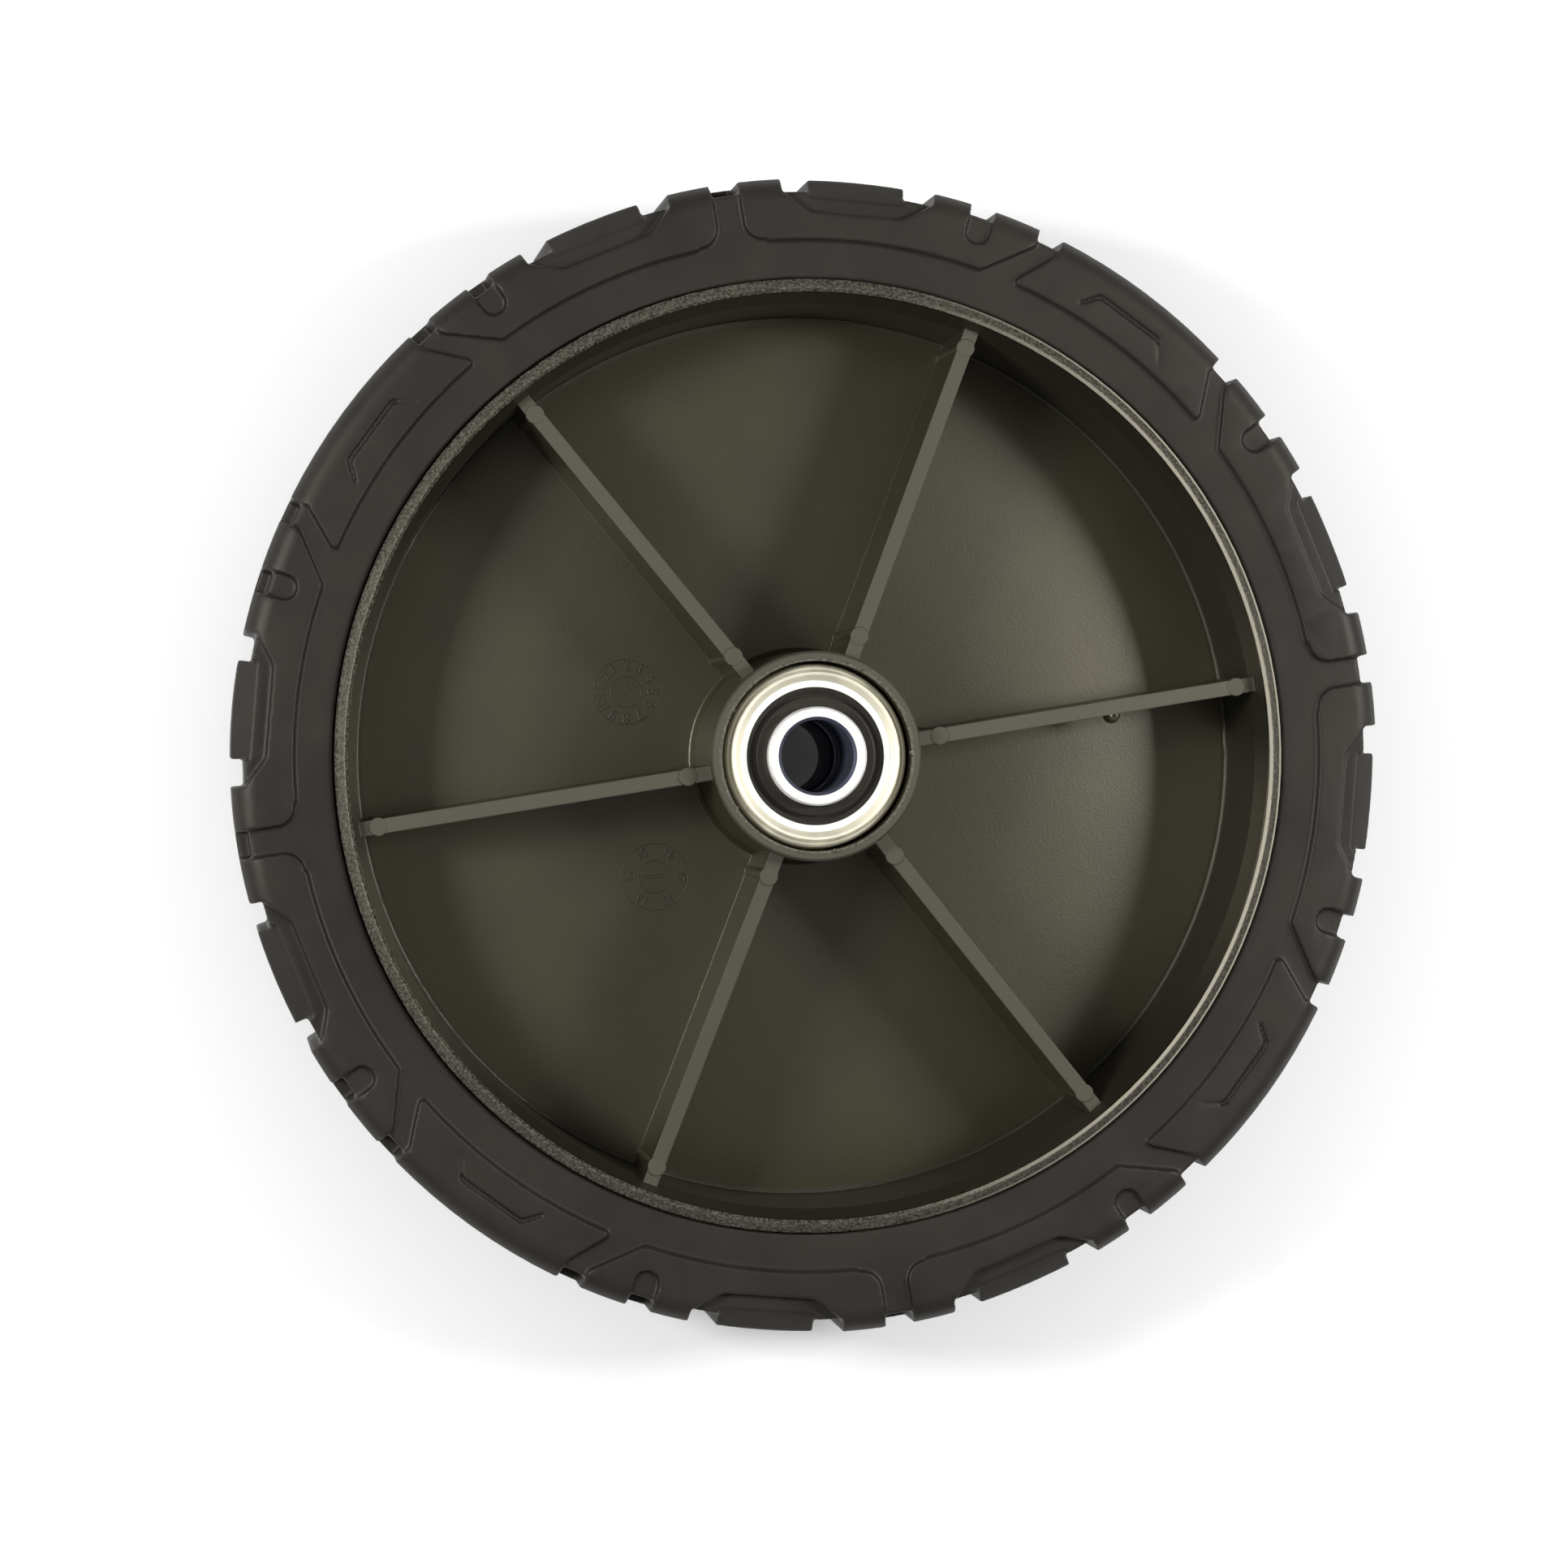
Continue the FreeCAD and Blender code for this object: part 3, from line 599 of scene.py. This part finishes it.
@dataclass(frozen=True)
class TurnedSteel:
    """Steel that was turned, ground or pressed, with marks that run round the spin axis.

    The fine rings stretch each highlight, and tarnish dulls it in patches. Real grinding marks are a few
    hundredths of a millimetre apart and are drawn coarser, so that they show. Within the radius bore_mm the
    metal gets a bluish bore colour instead, which is painted shade for the inside of the bore.
    """

    name: str
    colour: str
    roughness: float
    mark_mm: float = 0.15
    mark_depth_mm: float = 0.002
    mark_strength: float = 0.4
    tarnish_mm: float = 3.0
    brightest_share: float = 0.8
    dullest_share: float = 1.3
    bore_mm: float = 0.0
    # Painted shade: the bore's bluish colour stands in for the shade inside the bore.
    bore_colour: str = "3c3e44"

    def material(self) -> bpy.types.Material:
        """Build the material.

        Returns:
            The finished material.
        """
        made = new_material(self.name)
        tree = made.node_tree
        place = add_node(tree, "ShaderNodeTexCoord").outputs["Object"]
        rings = add_node(
            tree, "ShaderNodeTexWave",
            {"Scale": 1 / (self.mark_mm * MM * 2), "Distortion": 1.5, "Detail": 2.0},
            {"Vector": place}, wave_type="RINGS", rings_direction="Z",
        )
        tarnish = add_node(
            tree, "ShaderNodeTexNoise", {"Scale": 1 / (self.tarnish_mm * MM), "Detail": 4.0},
            {"Vector": place},
        )
        roughness = add_node(
            tree, "ShaderNodeMapRange",
            {"To Min": self.roughness * self.brightest_share, "To Max": self.roughness * self.dullest_share},
            {"Value": tarnish.outputs["Fac"]},
        )
        bump = add_node(
            tree, "ShaderNodeBump", {"Strength": self.mark_strength, "Distance": self.mark_depth_mm * MM},
            {"Height": rings.outputs["Fac"]},
        )
        axes = add_node(tree, "ShaderNodeSeparateXYZ", links={"Vector": place}).outputs
        across = add_node(tree, "ShaderNodeCombineXYZ", links={"X": axes["X"], "Y": axes["Y"]})
        radius = add_node(tree, "ShaderNodeVectorMath", links={0: across.outputs[0]}, operation="LENGTH")
        # Inside the bore radius, the colour becomes the bore's painted shade.
        outside = add_node(
            tree, "ShaderNodeMath", {1: self.bore_mm * MM}, {0: radius.outputs["Value"]},
            operation="GREATER_THAN",
        )
        colour = add_node(
            tree, "ShaderNodeMix", {MIX_FIRST: linear(self.bore_colour), MIX_SECOND: linear(self.colour)},
            {MIX_FACTOR: outside.outputs[0]}, data_type="RGBA",
        )
        shader = add_node(
            tree, "ShaderNodeBsdfPrincipled", {"Metallic": 1.0},
            {
                "Base Color": colour.outputs[MIX_RESULT],
                "Roughness": roughness.outputs["Result"],
                "Normal": bump.outputs["Normal"],
            },
        )
        add_node(tree, "ShaderNodeOutputMaterial", links={"Surface": shader.outputs["BSDF"]})
        return made


@dataclass
class Wheel:
    """The rim with its tyre."""

    nodes: Mapping[str, bpy.types.Object]
    tyre_cell_mm: float = 0.30
    tyre_passes: int = 5
    most_triangles: int = 190000

    def build(self) -> None:
        """Dress the rim and the tyre, and round the tyre's moulded edges."""
        plastic = MouldedPolypropylene()
        dress(self.nodes["rim"], plastic.material())
        LOG.info("rim: %s", plastic.name)
        tyre = self.nodes["tyre"]
        dress(tyre, VulcanisedRubber().material())
        soften(tyre, self.tyre_cell_mm, self.tyre_passes, self.most_triangles)


def web_height(radius_mm: float) -> float:
    """Give the height of the crowned web's front face.

    Args:
        radius_mm: Distance from the spin axis, in millimetres.

    Returns:
        The height in millimetres.
    """
    level_radius, level_height, crown_radius = 27.5, -0.70, 450.0
    return level_height - max(0.0, radius_mm - level_radius) ** 2 / (2 * crown_radius)


def rim_piece(
    name: str,
    vertices: Sequence[tuple[float, ...]],
    faces: Sequence[Sequence[int]],
    material: bpy.types.Material,
) -> None:
    """Make a plastic piece that belongs to the rim and turns with it.

    Args:
        name: Name of the new piece.
        vertices: Its points, in metres.
        faces: The points of each face.
        material: Its finish.
    """
    mesh = bpy.data.meshes.new(name)
    mesh.from_pydata(vertices, [], faces)
    mesh.validate()
    piece = bpy.data.objects.new(name, mesh)
    bpy.context.scene.collection.objects.link(piece)
    dress(piece, material)
    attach(piece, "wheel")
    LOG.info("%s: %d faces", name, len(mesh.polygons))


@dataclass(frozen=True)
class Flash:
    """A thin line of moulding flash round the spin axis, chipped along its inner edge. Sizes are in mm.

    Each corner of its section holds a share of its width, a height above the surface under it, and the share
    of a chip's length that lifts it. Each of its waves holds the chips in a turn and where they start.
    """

    name: str
    radius: float
    height: float
    width: float
    longest_chip: float
    steps: int = 720
    section: tuple[tuple[float, float, float], ...] = (
        (0.0, -0.05, 0.0), (0.45, 0.08, 0.15), (1.0, -0.02, 0.0), (0.5, -0.12, 0.0),
    )
    waves: tuple[tuple[int, float], ...] = ((5, 1.1), (17, 0.4), (31, 0.0), (53, 0.0))

    def build(self, material: bpy.types.Material) -> None:
        """Build the line of flash.

        Args:
            material: Its finish.
        """
        vertices = []
        for step in range(self.steps):
            angle = math.tau * step / self.steps
            wave = sum(math.sin(chips * angle + start) for chips, start in self.waves) / len(self.waves)
            chip = max(0.0, wave) ** 2 * self.longest_chip
            for width_share, lift, chip_share in self.section:
                radius = self.radius - (self.width + chip) * width_share
                height = self.height + lift + chip * chip_share
                vertices.append((radius * MM * math.cos(angle), radius * MM * math.sin(angle), height * MM))
        count = len(self.section)
        faces = [
            (step * count + side, (step + 1) % self.steps * count + side,
             (step + 1) % self.steps * count + (side + 1) % count, step * count + (side + 1) % count)
            for step in range(self.steps)
            for side in range(count)
        ]
        rim_piece(self.name, vertices, faces, material)


@dataclass
class DateDial:
    """A round mould insert's print on the web: thin rings, numbers and an arrow. Sizes are in mm."""

    name: str
    centre: tuple[float, float]
    radius: float
    numbers: Sequence[tuple[str, float]]
    arrow: Sequence[Sequence[tuple[float, float]]]
    number_radius: float = 4.65
    number_height: float = 1.75
    core_radius: float = 2.9
    relief: float = 0.13
    stroke: float = 0.22
    ridge_top_share: float = 0.4
    ridge_height_share: float = 0.7
    letter_share: float = 0.68
    boldness: float = 0.04
    ring_steps: int = 72
    vertices: list[tuple[float, float, float]] = field(default_factory=list)
    faces: list[list[int]] = field(default_factory=list)

    def build(self, material: bpy.types.Material) -> None:
        """Build the dial as one piece that lies on the web.

        Args:
            material: Its finish.
        """
        for text, angle_deg in self.numbers:
            self.add_number(text, math.radians(angle_deg))
        for line in [self.ring(self.radius), self.ring(self.core_radius), *self.arrow]:
            self.add_ridge(line)
        laid = []
        for across, along, lift in self.vertices:
            x, y = self.centre[0] + across, self.centre[1] + along
            laid.append((x * MM, y * MM, (web_height(math.hypot(x, y)) + lift) * MM))
        rim_piece(self.name, laid, self.faces, material)

    def ring(self, radius: float) -> list[tuple[float, float]]:
        """Give points round a circle about the dial's centre.

        Args:
            radius: The circle's radius.

        Returns:
            The points, the first one again at the end.
        """
        turns = (math.tau * step / self.ring_steps for step in range(self.ring_steps + 1))
        return [(radius * math.cos(turn), radius * math.sin(turn)) for turn in turns]

    def add_number(self, text: str, angle: float) -> None:
        """Add a raised number, with its top turned outwards.

        Args:
            text: The number.
            angle: Its place round the dial, in radians.
        """
        curve = bpy.data.curves.new("number", "FONT")
        curve.body = text
        curve.align_x = "CENTER"
        curve.align_y = "CENTER"
        curve.size = self.number_height / self.letter_share
        curve.extrude = self.relief
        curve.offset = self.boldness
        curve.resolution_u = 4
        writer = bpy.data.objects.new("number", curve)
        mesh = bpy.data.meshes.new_from_object(writer)
        start = len(self.vertices)
        turn = Matrix.Rotation(angle - math.pi / 2, 3, "Z")
        out = Vector((math.cos(angle), math.sin(angle), 0.0)) * self.number_radius
        self.vertices.extend(tuple(turn @ vertex.co + out) for vertex in mesh.vertices)
        self.faces.extend([start + index for index in polygon.vertices] for polygon in mesh.polygons)
        bpy.data.objects.remove(writer)
        bpy.data.meshes.remove(mesh)
        bpy.data.curves.remove(curve)

    def add_ridge(self, line: Sequence[tuple[float, float]]) -> None:
        """Add a raised ridge along a line.

        Args:
            line: Its points, from the dial's centre.
        """
        start = len(self.vertices)
        last = len(line) - 1
        for index, (x, y) in enumerate(line):
            before, after = line[max(0, index - 1)], line[min(last, index + 1)]
            if line[0] == line[-1] and index in (0, last):
                before, after = line[-2], line[1]
            along = Vector((after[0] - before[0], after[1] - before[1])).normalized()
            side = Vector((-along.y, along.x)) * self.stroke / 2
            top = side * self.ridge_top_share
            height = self.relief * self.ridge_height_share
            self.vertices += [
                (x + side.x, y + side.y, -self.relief), (x + top.x, y + top.y, height),
                (x - top.x, y - top.y, height), (x - side.x, y - side.y, -self.relief),
            ]
        for index in range(last):
            here, ahead = start + index * 4, start + index * 4 + 4
            self.faces += [
                [here + side, ahead + side, ahead + (side + 1) % 4, here + (side + 1) % 4]
                for side in range(4)
            ]


@dataclass
class MouldMarks:
    """What the tool left on the rim: two date dials, lines of flash and a knob on a rib. Sizes are in mm."""

    hub_face: float = 28.0
    mouth_radius: float = 17.25
    mouth_flash_width: float = 0.34
    mouth_longest_chip: float = 0.9
    drum_foot_radius: float = 79.28
    drum_foot_height: float = -3.55
    foot_flash_width: float = 0.28
    foot_longest_chip: float = 0.5
    months_centre: tuple[float, float] = (-31.0, 11.5)
    months_radius: float = 5.84
    months_core: float = 2.75
    top_month: int = 2
    years_centre: tuple[float, float] = (-25.85, -21.7)
    years_radius: float = 6.0
    year_height: float = 1.45
    first_year: int = 12
    year_count: int = 6
    first_year_angle_deg: float = -60.0
    knob_angle_deg: float = 9.2
    knob_along: float = 56.0
    knob_across: float = -1.55
    knob_low: float = 8.6
    knob_high: float = 10.6
    knob_radius: float = 0.85
    knob_foot_rounding: float = 0.3
    knob_top_rounding: float = 0.45
    knob_segments: int = 32

    def build(self) -> None:
        """Build every mark."""
        # Flash is thin and torn, and is coloured a little paler than the moulding that it stands on.
        # On the drum's wall it is darker, which is painted shade.
        flash = MouldedPolypropylene(
            "moulded_polypropylene_flash", recess_colour="3b392c", wall_colour="2a281d"
        ).material()
        # The date inserts are polished steel. The print's much darker colour is painted shade,
        # standing in for the shade along its raised strokes.
        print_with_painted_shade = MouldedPolypropylene(
            "polypropylene_on_polished_steel", recess_colour="0e0d08", recess_roughness=0.55
        ).material()
        Flash(
            "hub_mouth_flash", self.mouth_radius, self.hub_face,
            self.mouth_flash_width, self.mouth_longest_chip,
        ).build(flash)
        Flash(
            "drum_foot_flash", self.drum_foot_radius, self.drum_foot_height,
            self.foot_flash_width, self.foot_longest_chip,
        ).build(flash)
        self.build_knob(flash)
        self.build_months(print_with_painted_shade)
        self.build_years(print_with_painted_shade)

    def build_months(self, material: bpy.types.Material) -> None:
        """Build the dial with twelve numbers clockwise and a hooked arrow.

        Args:
            material: Its finish.
        """
        step = 360.0 / 12
        months = [(str(month), 90.0 - (month - self.top_month) * step) for month in range(1, 13)]
        hooked = [
            (-1.3, -1.75), (0.35, 0.75), (0.2, 1.5), (1.0, 1.85),
            (1.55, 1.1), (1.1, 0.35), (0.75, 0.5), (-0.7, -2.0),
        ]
        DateDial(
            "months_dial", self.months_centre, self.months_radius, months, [hooked],
            core_radius=self.months_core,
        ).build(material)

    def build_years(self, material: bpy.types.Material) -> None:
        """Build the dial with six numbers clockwise and a straight arrow.

        Args:
            material: Its finish.
        """
        step = 360.0 / self.year_count
        years = [
            (str(self.first_year + index), self.first_year_angle_deg - index * step)
            for index in range(self.year_count)
        ]
        straight = [
            [(-2.4, 0.2), (1.6, 0.45)], [(-2.2, -0.3), (1.6, -0.05)], [(-2.5, -0.75), (-2.2, -0.3)],
        ]
        DateDial(
            "years_dial", self.years_centre, self.years_radius, years, straight,
            number_height=self.year_height,
        ).build(material)

    def build_knob(self, material: bpy.types.Material) -> None:
        """Build the small half-round knob on the side of the right rib.

        Args:
            material: Its finish.
        """
        profile = outline([
            (0.0, self.knob_low),
            (self.knob_radius, self.knob_low, self.knob_foot_rounding),
            (self.knob_radius, self.knob_high, self.knob_top_rounding),
            (0.0, self.knob_high),
        ], 4)
        knob = turned("rib_knob", profile, self.knob_segments)
        turn = math.radians(self.knob_angle_deg)
        out = Vector((math.cos(turn), math.sin(turn), 0.0)) * self.knob_along * MM
        aside = Vector((-math.sin(turn), math.cos(turn), 0.0)) * self.knob_across * MM
        knob.data.transform(Matrix.Translation(out + aside))
        dress(knob, material)
        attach(knob, "wheel")
        LOG.info("rib_knob: %.1f mm high", self.knob_high - self.knob_low)


@dataclass
class Bearing:
    """One ball bearing. Heights are in millimetres from the outer face of its inner race."""

    side: Side
    nodes: Mapping[str, bpy.types.Object]
    casing_radius: float = 16.6
    casing_inside: float = 15.7
    casing_front: float = -2.6
    casing_corner: float = 1.6
    roll_crest: float = 14.35
    roll_crest_rounding: float = 0.9
    roll_radius: float = 13.25
    roll_edge: float = -3.4
    race_front: float = -3.5
    casing_back: float = -12.4
    casing_floor: float = -11.5
    casing_back_radius: float = 13.6
    back_corner: float = 0.8
    seal_inner: float = 8.73
    seal_outer: float = 12.08
    seal_front: float = -3.6
    seal_back: float = -4.3
    seal_band: float = -3.72
    seal_step_outer: float = 10.45
    seal_step_inner: float = 10.15
    seal_lip_radius: float = 9.1
    seal_lip_height: float = -3.9
    seal_rounding: float = 0.2

    def build(self, finishes: Mapping[str, bpy.types.Material]) -> None:
        """Build the pieces that show and dress the others.

        Args:
            finishes: The material of each piece, by the end of its name.
        """
        self.stand_for("bearing_casing", self.casing_profile(), finishes)
        self.stand_for("seal", self.seal_profile(), finishes)
        start = f"{self.side.prefix}_"
        own = {name.removeprefix(start): node for name, node in self.nodes.items() if name.startswith(start)}
        for part, node in own.items():
            if not node.hide_render:
                dress(node, finishes.get(part, finishes["ball"]))
        LOG.info("%s bearing: %d pieces", self.side.prefix, len(own))

    def stand_for(
        self,
        part: str,
        profile: Sequence[tuple[float, float]],
        finishes: Mapping[str, bpy.types.Material],
    ) -> None:
        """Put a finely turned piece in the place of a plain one.

        Args:
            part: The end of the plain piece's name.
            profile: The outline to turn.
            finishes: The material of each piece, by the end of its name.
        """
        node = f"{self.side.prefix}_{part}"
        piece = turned(f"{node}_turned", profile)
        race_low, race_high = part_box(f"{self.side.prefix}_inner_race")
        face = race_high.z if self.side is Side.FRONT else race_low.z
        if self.side is Side.REAR:
            piece.data.transform(Matrix.Rotation(math.pi, 4, "X"))
        piece.data.transform(Matrix.Translation((0.0, 0.0, face)))
        dress(piece, finishes[part])
        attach(piece, "wheel")
        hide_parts(node)
        LOG.info("%s: in place of %s", piece.name, node)

    def casing_profile(self) -> list[tuple[float, float]]:
        """Give the outline of the pressed casing, whose front edge is rolled into a round bead.

        Returns:
            Radius and height of each point, in metres.
        """
        return outline([
            (self.casing_back_radius, self.casing_back),
            (self.casing_radius, self.casing_back, self.back_corner),
            (self.casing_radius, self.casing_front, self.casing_corner),
            (self.roll_crest, self.casing_front, self.roll_crest_rounding),
            (self.roll_radius, self.roll_edge),
            (self.roll_radius, self.race_front),
            (self.casing_inside, self.race_front),
            (self.casing_inside, self.casing_floor),
            (self.casing_back_radius, self.casing_floor),
        ])

    def seal_profile(self) -> list[tuple[float, float]]:
        """Give the outline of the moulded seal, whose raised inner band falls to a lip at the race.

        Returns:
            Radius and height of each point, in metres.
        """
        return outline([
            (self.seal_inner, self.seal_back),
            (self.seal_outer, self.seal_back),
            (self.seal_outer, self.seal_band),
            (self.seal_step_outer, self.seal_band, self.seal_rounding),
            (self.seal_step_inner, self.seal_front, self.seal_rounding),
            (self.seal_lip_radius, self.seal_front, self.seal_rounding),
            (self.seal_inner, self.seal_lip_height),
        ])


def build_bearings(nodes: Mapping[str, bpy.types.Object]) -> None:
    """Build both bearings and dress the tube between them.

    Args:
        nodes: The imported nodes, by name.
    """
    # Pressed sheet steel is left as rolled, so it is grey and half dull; its bluish bore is painted shade.
    pressed = TurnedSteel("pressed_steel", "8a8880", 0.35, bore_mm=7.2, bore_colour="8c909e").material()
    # Ground steel is clean and finely ringed: its faces turn white under the lamps.
    # Its dark bluish bore colour is painted shade for the inside of the bore.
    ground = TurnedSteel("ground_bearing_steel", "fbfaf8", 0.62, bore_mm=6.9, bore_colour="6c7080").material()
    # Yellow chromate over zinc gives the casing its pale straw tint and a satin glow.
    zinc = TurnedSteel("yellow_zinc_plated_steel", "fdf9e6", 0.63).material()
    # Nitrile rubber is greyer and smoother than the tyre's.
    nitrile = VulcanisedRubber("nitrile_seal_rubber", "24221e", "302d28", roughness=0.45).material()
    # Lapped balls mirror what is round them.
    lapped = TurnedSteel("polished_ball_steel", "dcdcde", 0.06).material()
    finishes = {
        "bearing_casing": zinc,
        "outer_race": ground,
        "inner_race": ground,
        "seal": nitrile,
        "inner_shield": pressed,
        "ball_cage": pressed,
        "ball": lapped,
    }
    dress(nodes["spacer_tube"], pressed)
    LOG.info("spacer_tube: %s", pressed.name)
    for side in Side:
        Bearing(side, nodes).build(finishes)


@dataclass
class Studio:
    """The pale table, the lamps and the camera above the wheel. Sizes are in metres."""

    floor_height: float
    camera_place: tuple[float, float, float] = (-0.105, 0.0, 0.865)
    camera_target: tuple[float, float, float] = (-0.0049, -0.0049, 0.020)
    view_angle_deg: float = 18.4
    floor_size: float = 6.0
    card_colour: str = "f3f3f3"
    white: str = "ffffff"
    lamp_distance: float = 0.75
    lamp_tilt_deg: float = 43.5
    lamp_lead: float = 0.09
    lamp_width: float = 0.14
    lamp_length: float = 0.22
    right_watts: float = 3.5
    left_watts: float = 4.0
    fill_light: float = 0.27
    room_light: float = 0.15
    ceiling_light: float = 0.22
    floor_glow: float = 0.36
    # Painted shade and light: the glow is dimmed round the wheel, down to a faint painted light in the bore.
    bare_floor_glow: float = 0.02
    bare_floor_radius: float = 0.06
    bare_floor_fade: float = 0.09

    def build(self) -> None:
        """Set up the world, the table, both lamps and the camera."""
        self.build_world()
        self.build_floor()
        self.build_lamp("lamp_right", self.lamp_tilt_deg, self.right_watts)
        self.build_lamp("lamp_left", -self.lamp_tilt_deg, self.left_watts)
        self.build_camera()
        bpy.context.scene.view_settings.view_transform = "Standard"

    def build_world(self) -> None:
        """Light the wheel evenly. The camera sees white, and reflections see a ceiling over greyer walls."""
        world = bpy.data.worlds.new("white_room")
        world.use_nodes = True
        tree = world.node_tree
        tree.nodes.clear()
        way = add_node(tree, "ShaderNodeTexCoord").outputs["Generated"]
        axes = add_node(tree, "ShaderNodeSeparateXYZ", links={"Vector": way}).outputs
        room = add_node(
            tree, "ShaderNodeMapRange", {"To Min": self.room_light, "To Max": self.ceiling_light},
            {"Value": axes["Z"]},
        )
        path = add_node(tree, "ShaderNodeLightPath").outputs
        mirrored = add_node(
            tree, "ShaderNodeMapRange", {"To Min": self.fill_light},
            {"Value": path["Is Glossy Ray"], "To Max": room.outputs["Result"]},
        )
        straight = add_node(
            tree, "ShaderNodeMath", links={0: path["Is Camera Ray"], 1: path["Is Transmission Ray"]},
            operation="MAXIMUM",
        )
        strength = add_node(
            tree, "ShaderNodeMapRange", {"To Max": 1.0},
            {"Value": straight.outputs[0], "To Min": mirrored.outputs["Result"]},
        )
        background = add_node(
            tree, "ShaderNodeBackground", {"Color": linear(self.white)},
            {"Strength": strength.outputs["Result"]},
        )
        add_node(tree, "ShaderNodeOutputWorld", links={"Surface": background.outputs["Background"]})
        bpy.context.scene.world = world

    def build_floor(self) -> None:
        """Lay the white table with the wheel's soft shadow; its dimmer glow near the wheel is painted shade.
        """
        half = self.floor_size / 2
        mesh = bpy.data.meshes.new("floor")
        square = [(-half, -half, 0), (half, -half, 0), (half, half, 0), (-half, half, 0)]
        mesh.from_pydata(square, [], [(0, 1, 2, 3)])
        floor = bpy.data.objects.new("floor", mesh)
        floor.location.z = self.floor_height
        bpy.context.scene.collection.objects.link(floor)
        made = new_material("white_card")
        tree = made.node_tree
        card = add_node(tree, "ShaderNodeBsdfDiffuse", {"Color": linear(self.card_colour)})
        path = add_node(tree, "ShaderNodeLightPath").outputs
        seen = add_node(
            tree, "ShaderNodeMath", links={0: path["Is Camera Ray"], 1: path["Is Glossy Ray"]},
            operation="MAXIMUM",
        )
        place = add_node(tree, "ShaderNodeTexCoord").outputs["Object"]
        radius = add_node(tree, "ShaderNodeVectorMath", links={0: place}, operation="LENGTH")
        # Painted shade: the glow fades toward the wheel, leaving a faint painted light under the bore.
        glow_with_painted_shade = add_node(
            tree, "ShaderNodeMapRange",
            {
                "From Min": self.bare_floor_radius, "From Max": self.bare_floor_radius + self.bare_floor_fade,
                "To Min": self.bare_floor_glow, "To Max": self.floor_glow,
            },
            {"Value": radius.outputs["Value"]},
        )
        strength = add_node(
            tree, "ShaderNodeMath", links={0: seen.outputs[0], 1: glow_with_painted_shade.outputs["Result"]},
            operation="MULTIPLY",
        )
        glow = add_node(
            tree, "ShaderNodeEmission", {"Color": linear(self.white)}, {"Strength": strength.outputs[0]}
        )
        both = add_node(
            tree, "ShaderNodeAddShader", links={0: card.outputs["BSDF"], 1: glow.outputs["Emission"]}
        )
        add_node(tree, "ShaderNodeOutputMaterial", links={"Surface": both.outputs["Shader"]})
        dress(floor, made)
        floor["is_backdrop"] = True

    def build_lamp(self, name: str, tilt_deg: float, watts: float) -> None:
        """Hang a soft box beside the camera, aimed at the wheel.

        Args:
            name: Name of the lamp.
            tilt_deg: Angle from straight overhead, positive to the right.
            watts: Its power.
        """
        light = bpy.data.lights.new(name, "AREA")
        light.shape = "RECTANGLE"
        light.size = self.lamp_width
        light.size_y = self.lamp_length
        light.energy = watts
        lamp = bpy.data.objects.new(name, light)
        tilt = math.radians(tilt_deg)
        lamp.location = (
            self.lamp_distance * math.sin(tilt), self.lamp_lead, self.lamp_distance * math.cos(tilt)
        )
        lamp.rotation_euler = (-lamp.location).to_track_quat("-Z", "Y").to_euler()
        bpy.context.scene.collection.objects.link(lamp)

    def build_camera(self) -> None:
        """Put the camera where the photograph was taken from."""
        data = bpy.data.cameras.new("camera")
        data.sensor_width = 36.0
        data.lens = data.sensor_width / 2 / math.tan(math.radians(self.view_angle_deg) / 2)
        data.clip_start = 0.01
        data.clip_end = 20.0
        camera = bpy.data.objects.new("camera", data)
        back = (Vector(self.camera_place) - Vector(self.camera_target)).normalized()
        right = Vector((0.0, 1.0, 0.0)).cross(back).normalized()
        up = back.cross(right)
        turn = Matrix((right, up, back)).transposed().to_4x4()
        camera.matrix_world = Matrix.Translation(self.camera_place) @ turn
        bpy.context.scene.collection.objects.link(camera)
        bpy.context.scene.camera = camera


def corners(bounds: tuple[Vector, Vector]) -> list[list[float]]:
    """Give a box's two corners as plain lists."""
    return [list(corner) for corner in bounds]


def main() -> None:
    """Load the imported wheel, dress it and set up the studio."""
    logging.basicConfig(level=logging.INFO, format="%(message)s")
    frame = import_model()
    cad_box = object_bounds()
    Wheel(frame["nodes"]).build()
    MouldMarks().build()
    build_bearings(frame["nodes"])
    Studio(floor_height=cad_box[0].z).build()
    LOG.info("studio: table at %.4f m", cad_box[0].z)


if __name__ == "__main__":
    main()
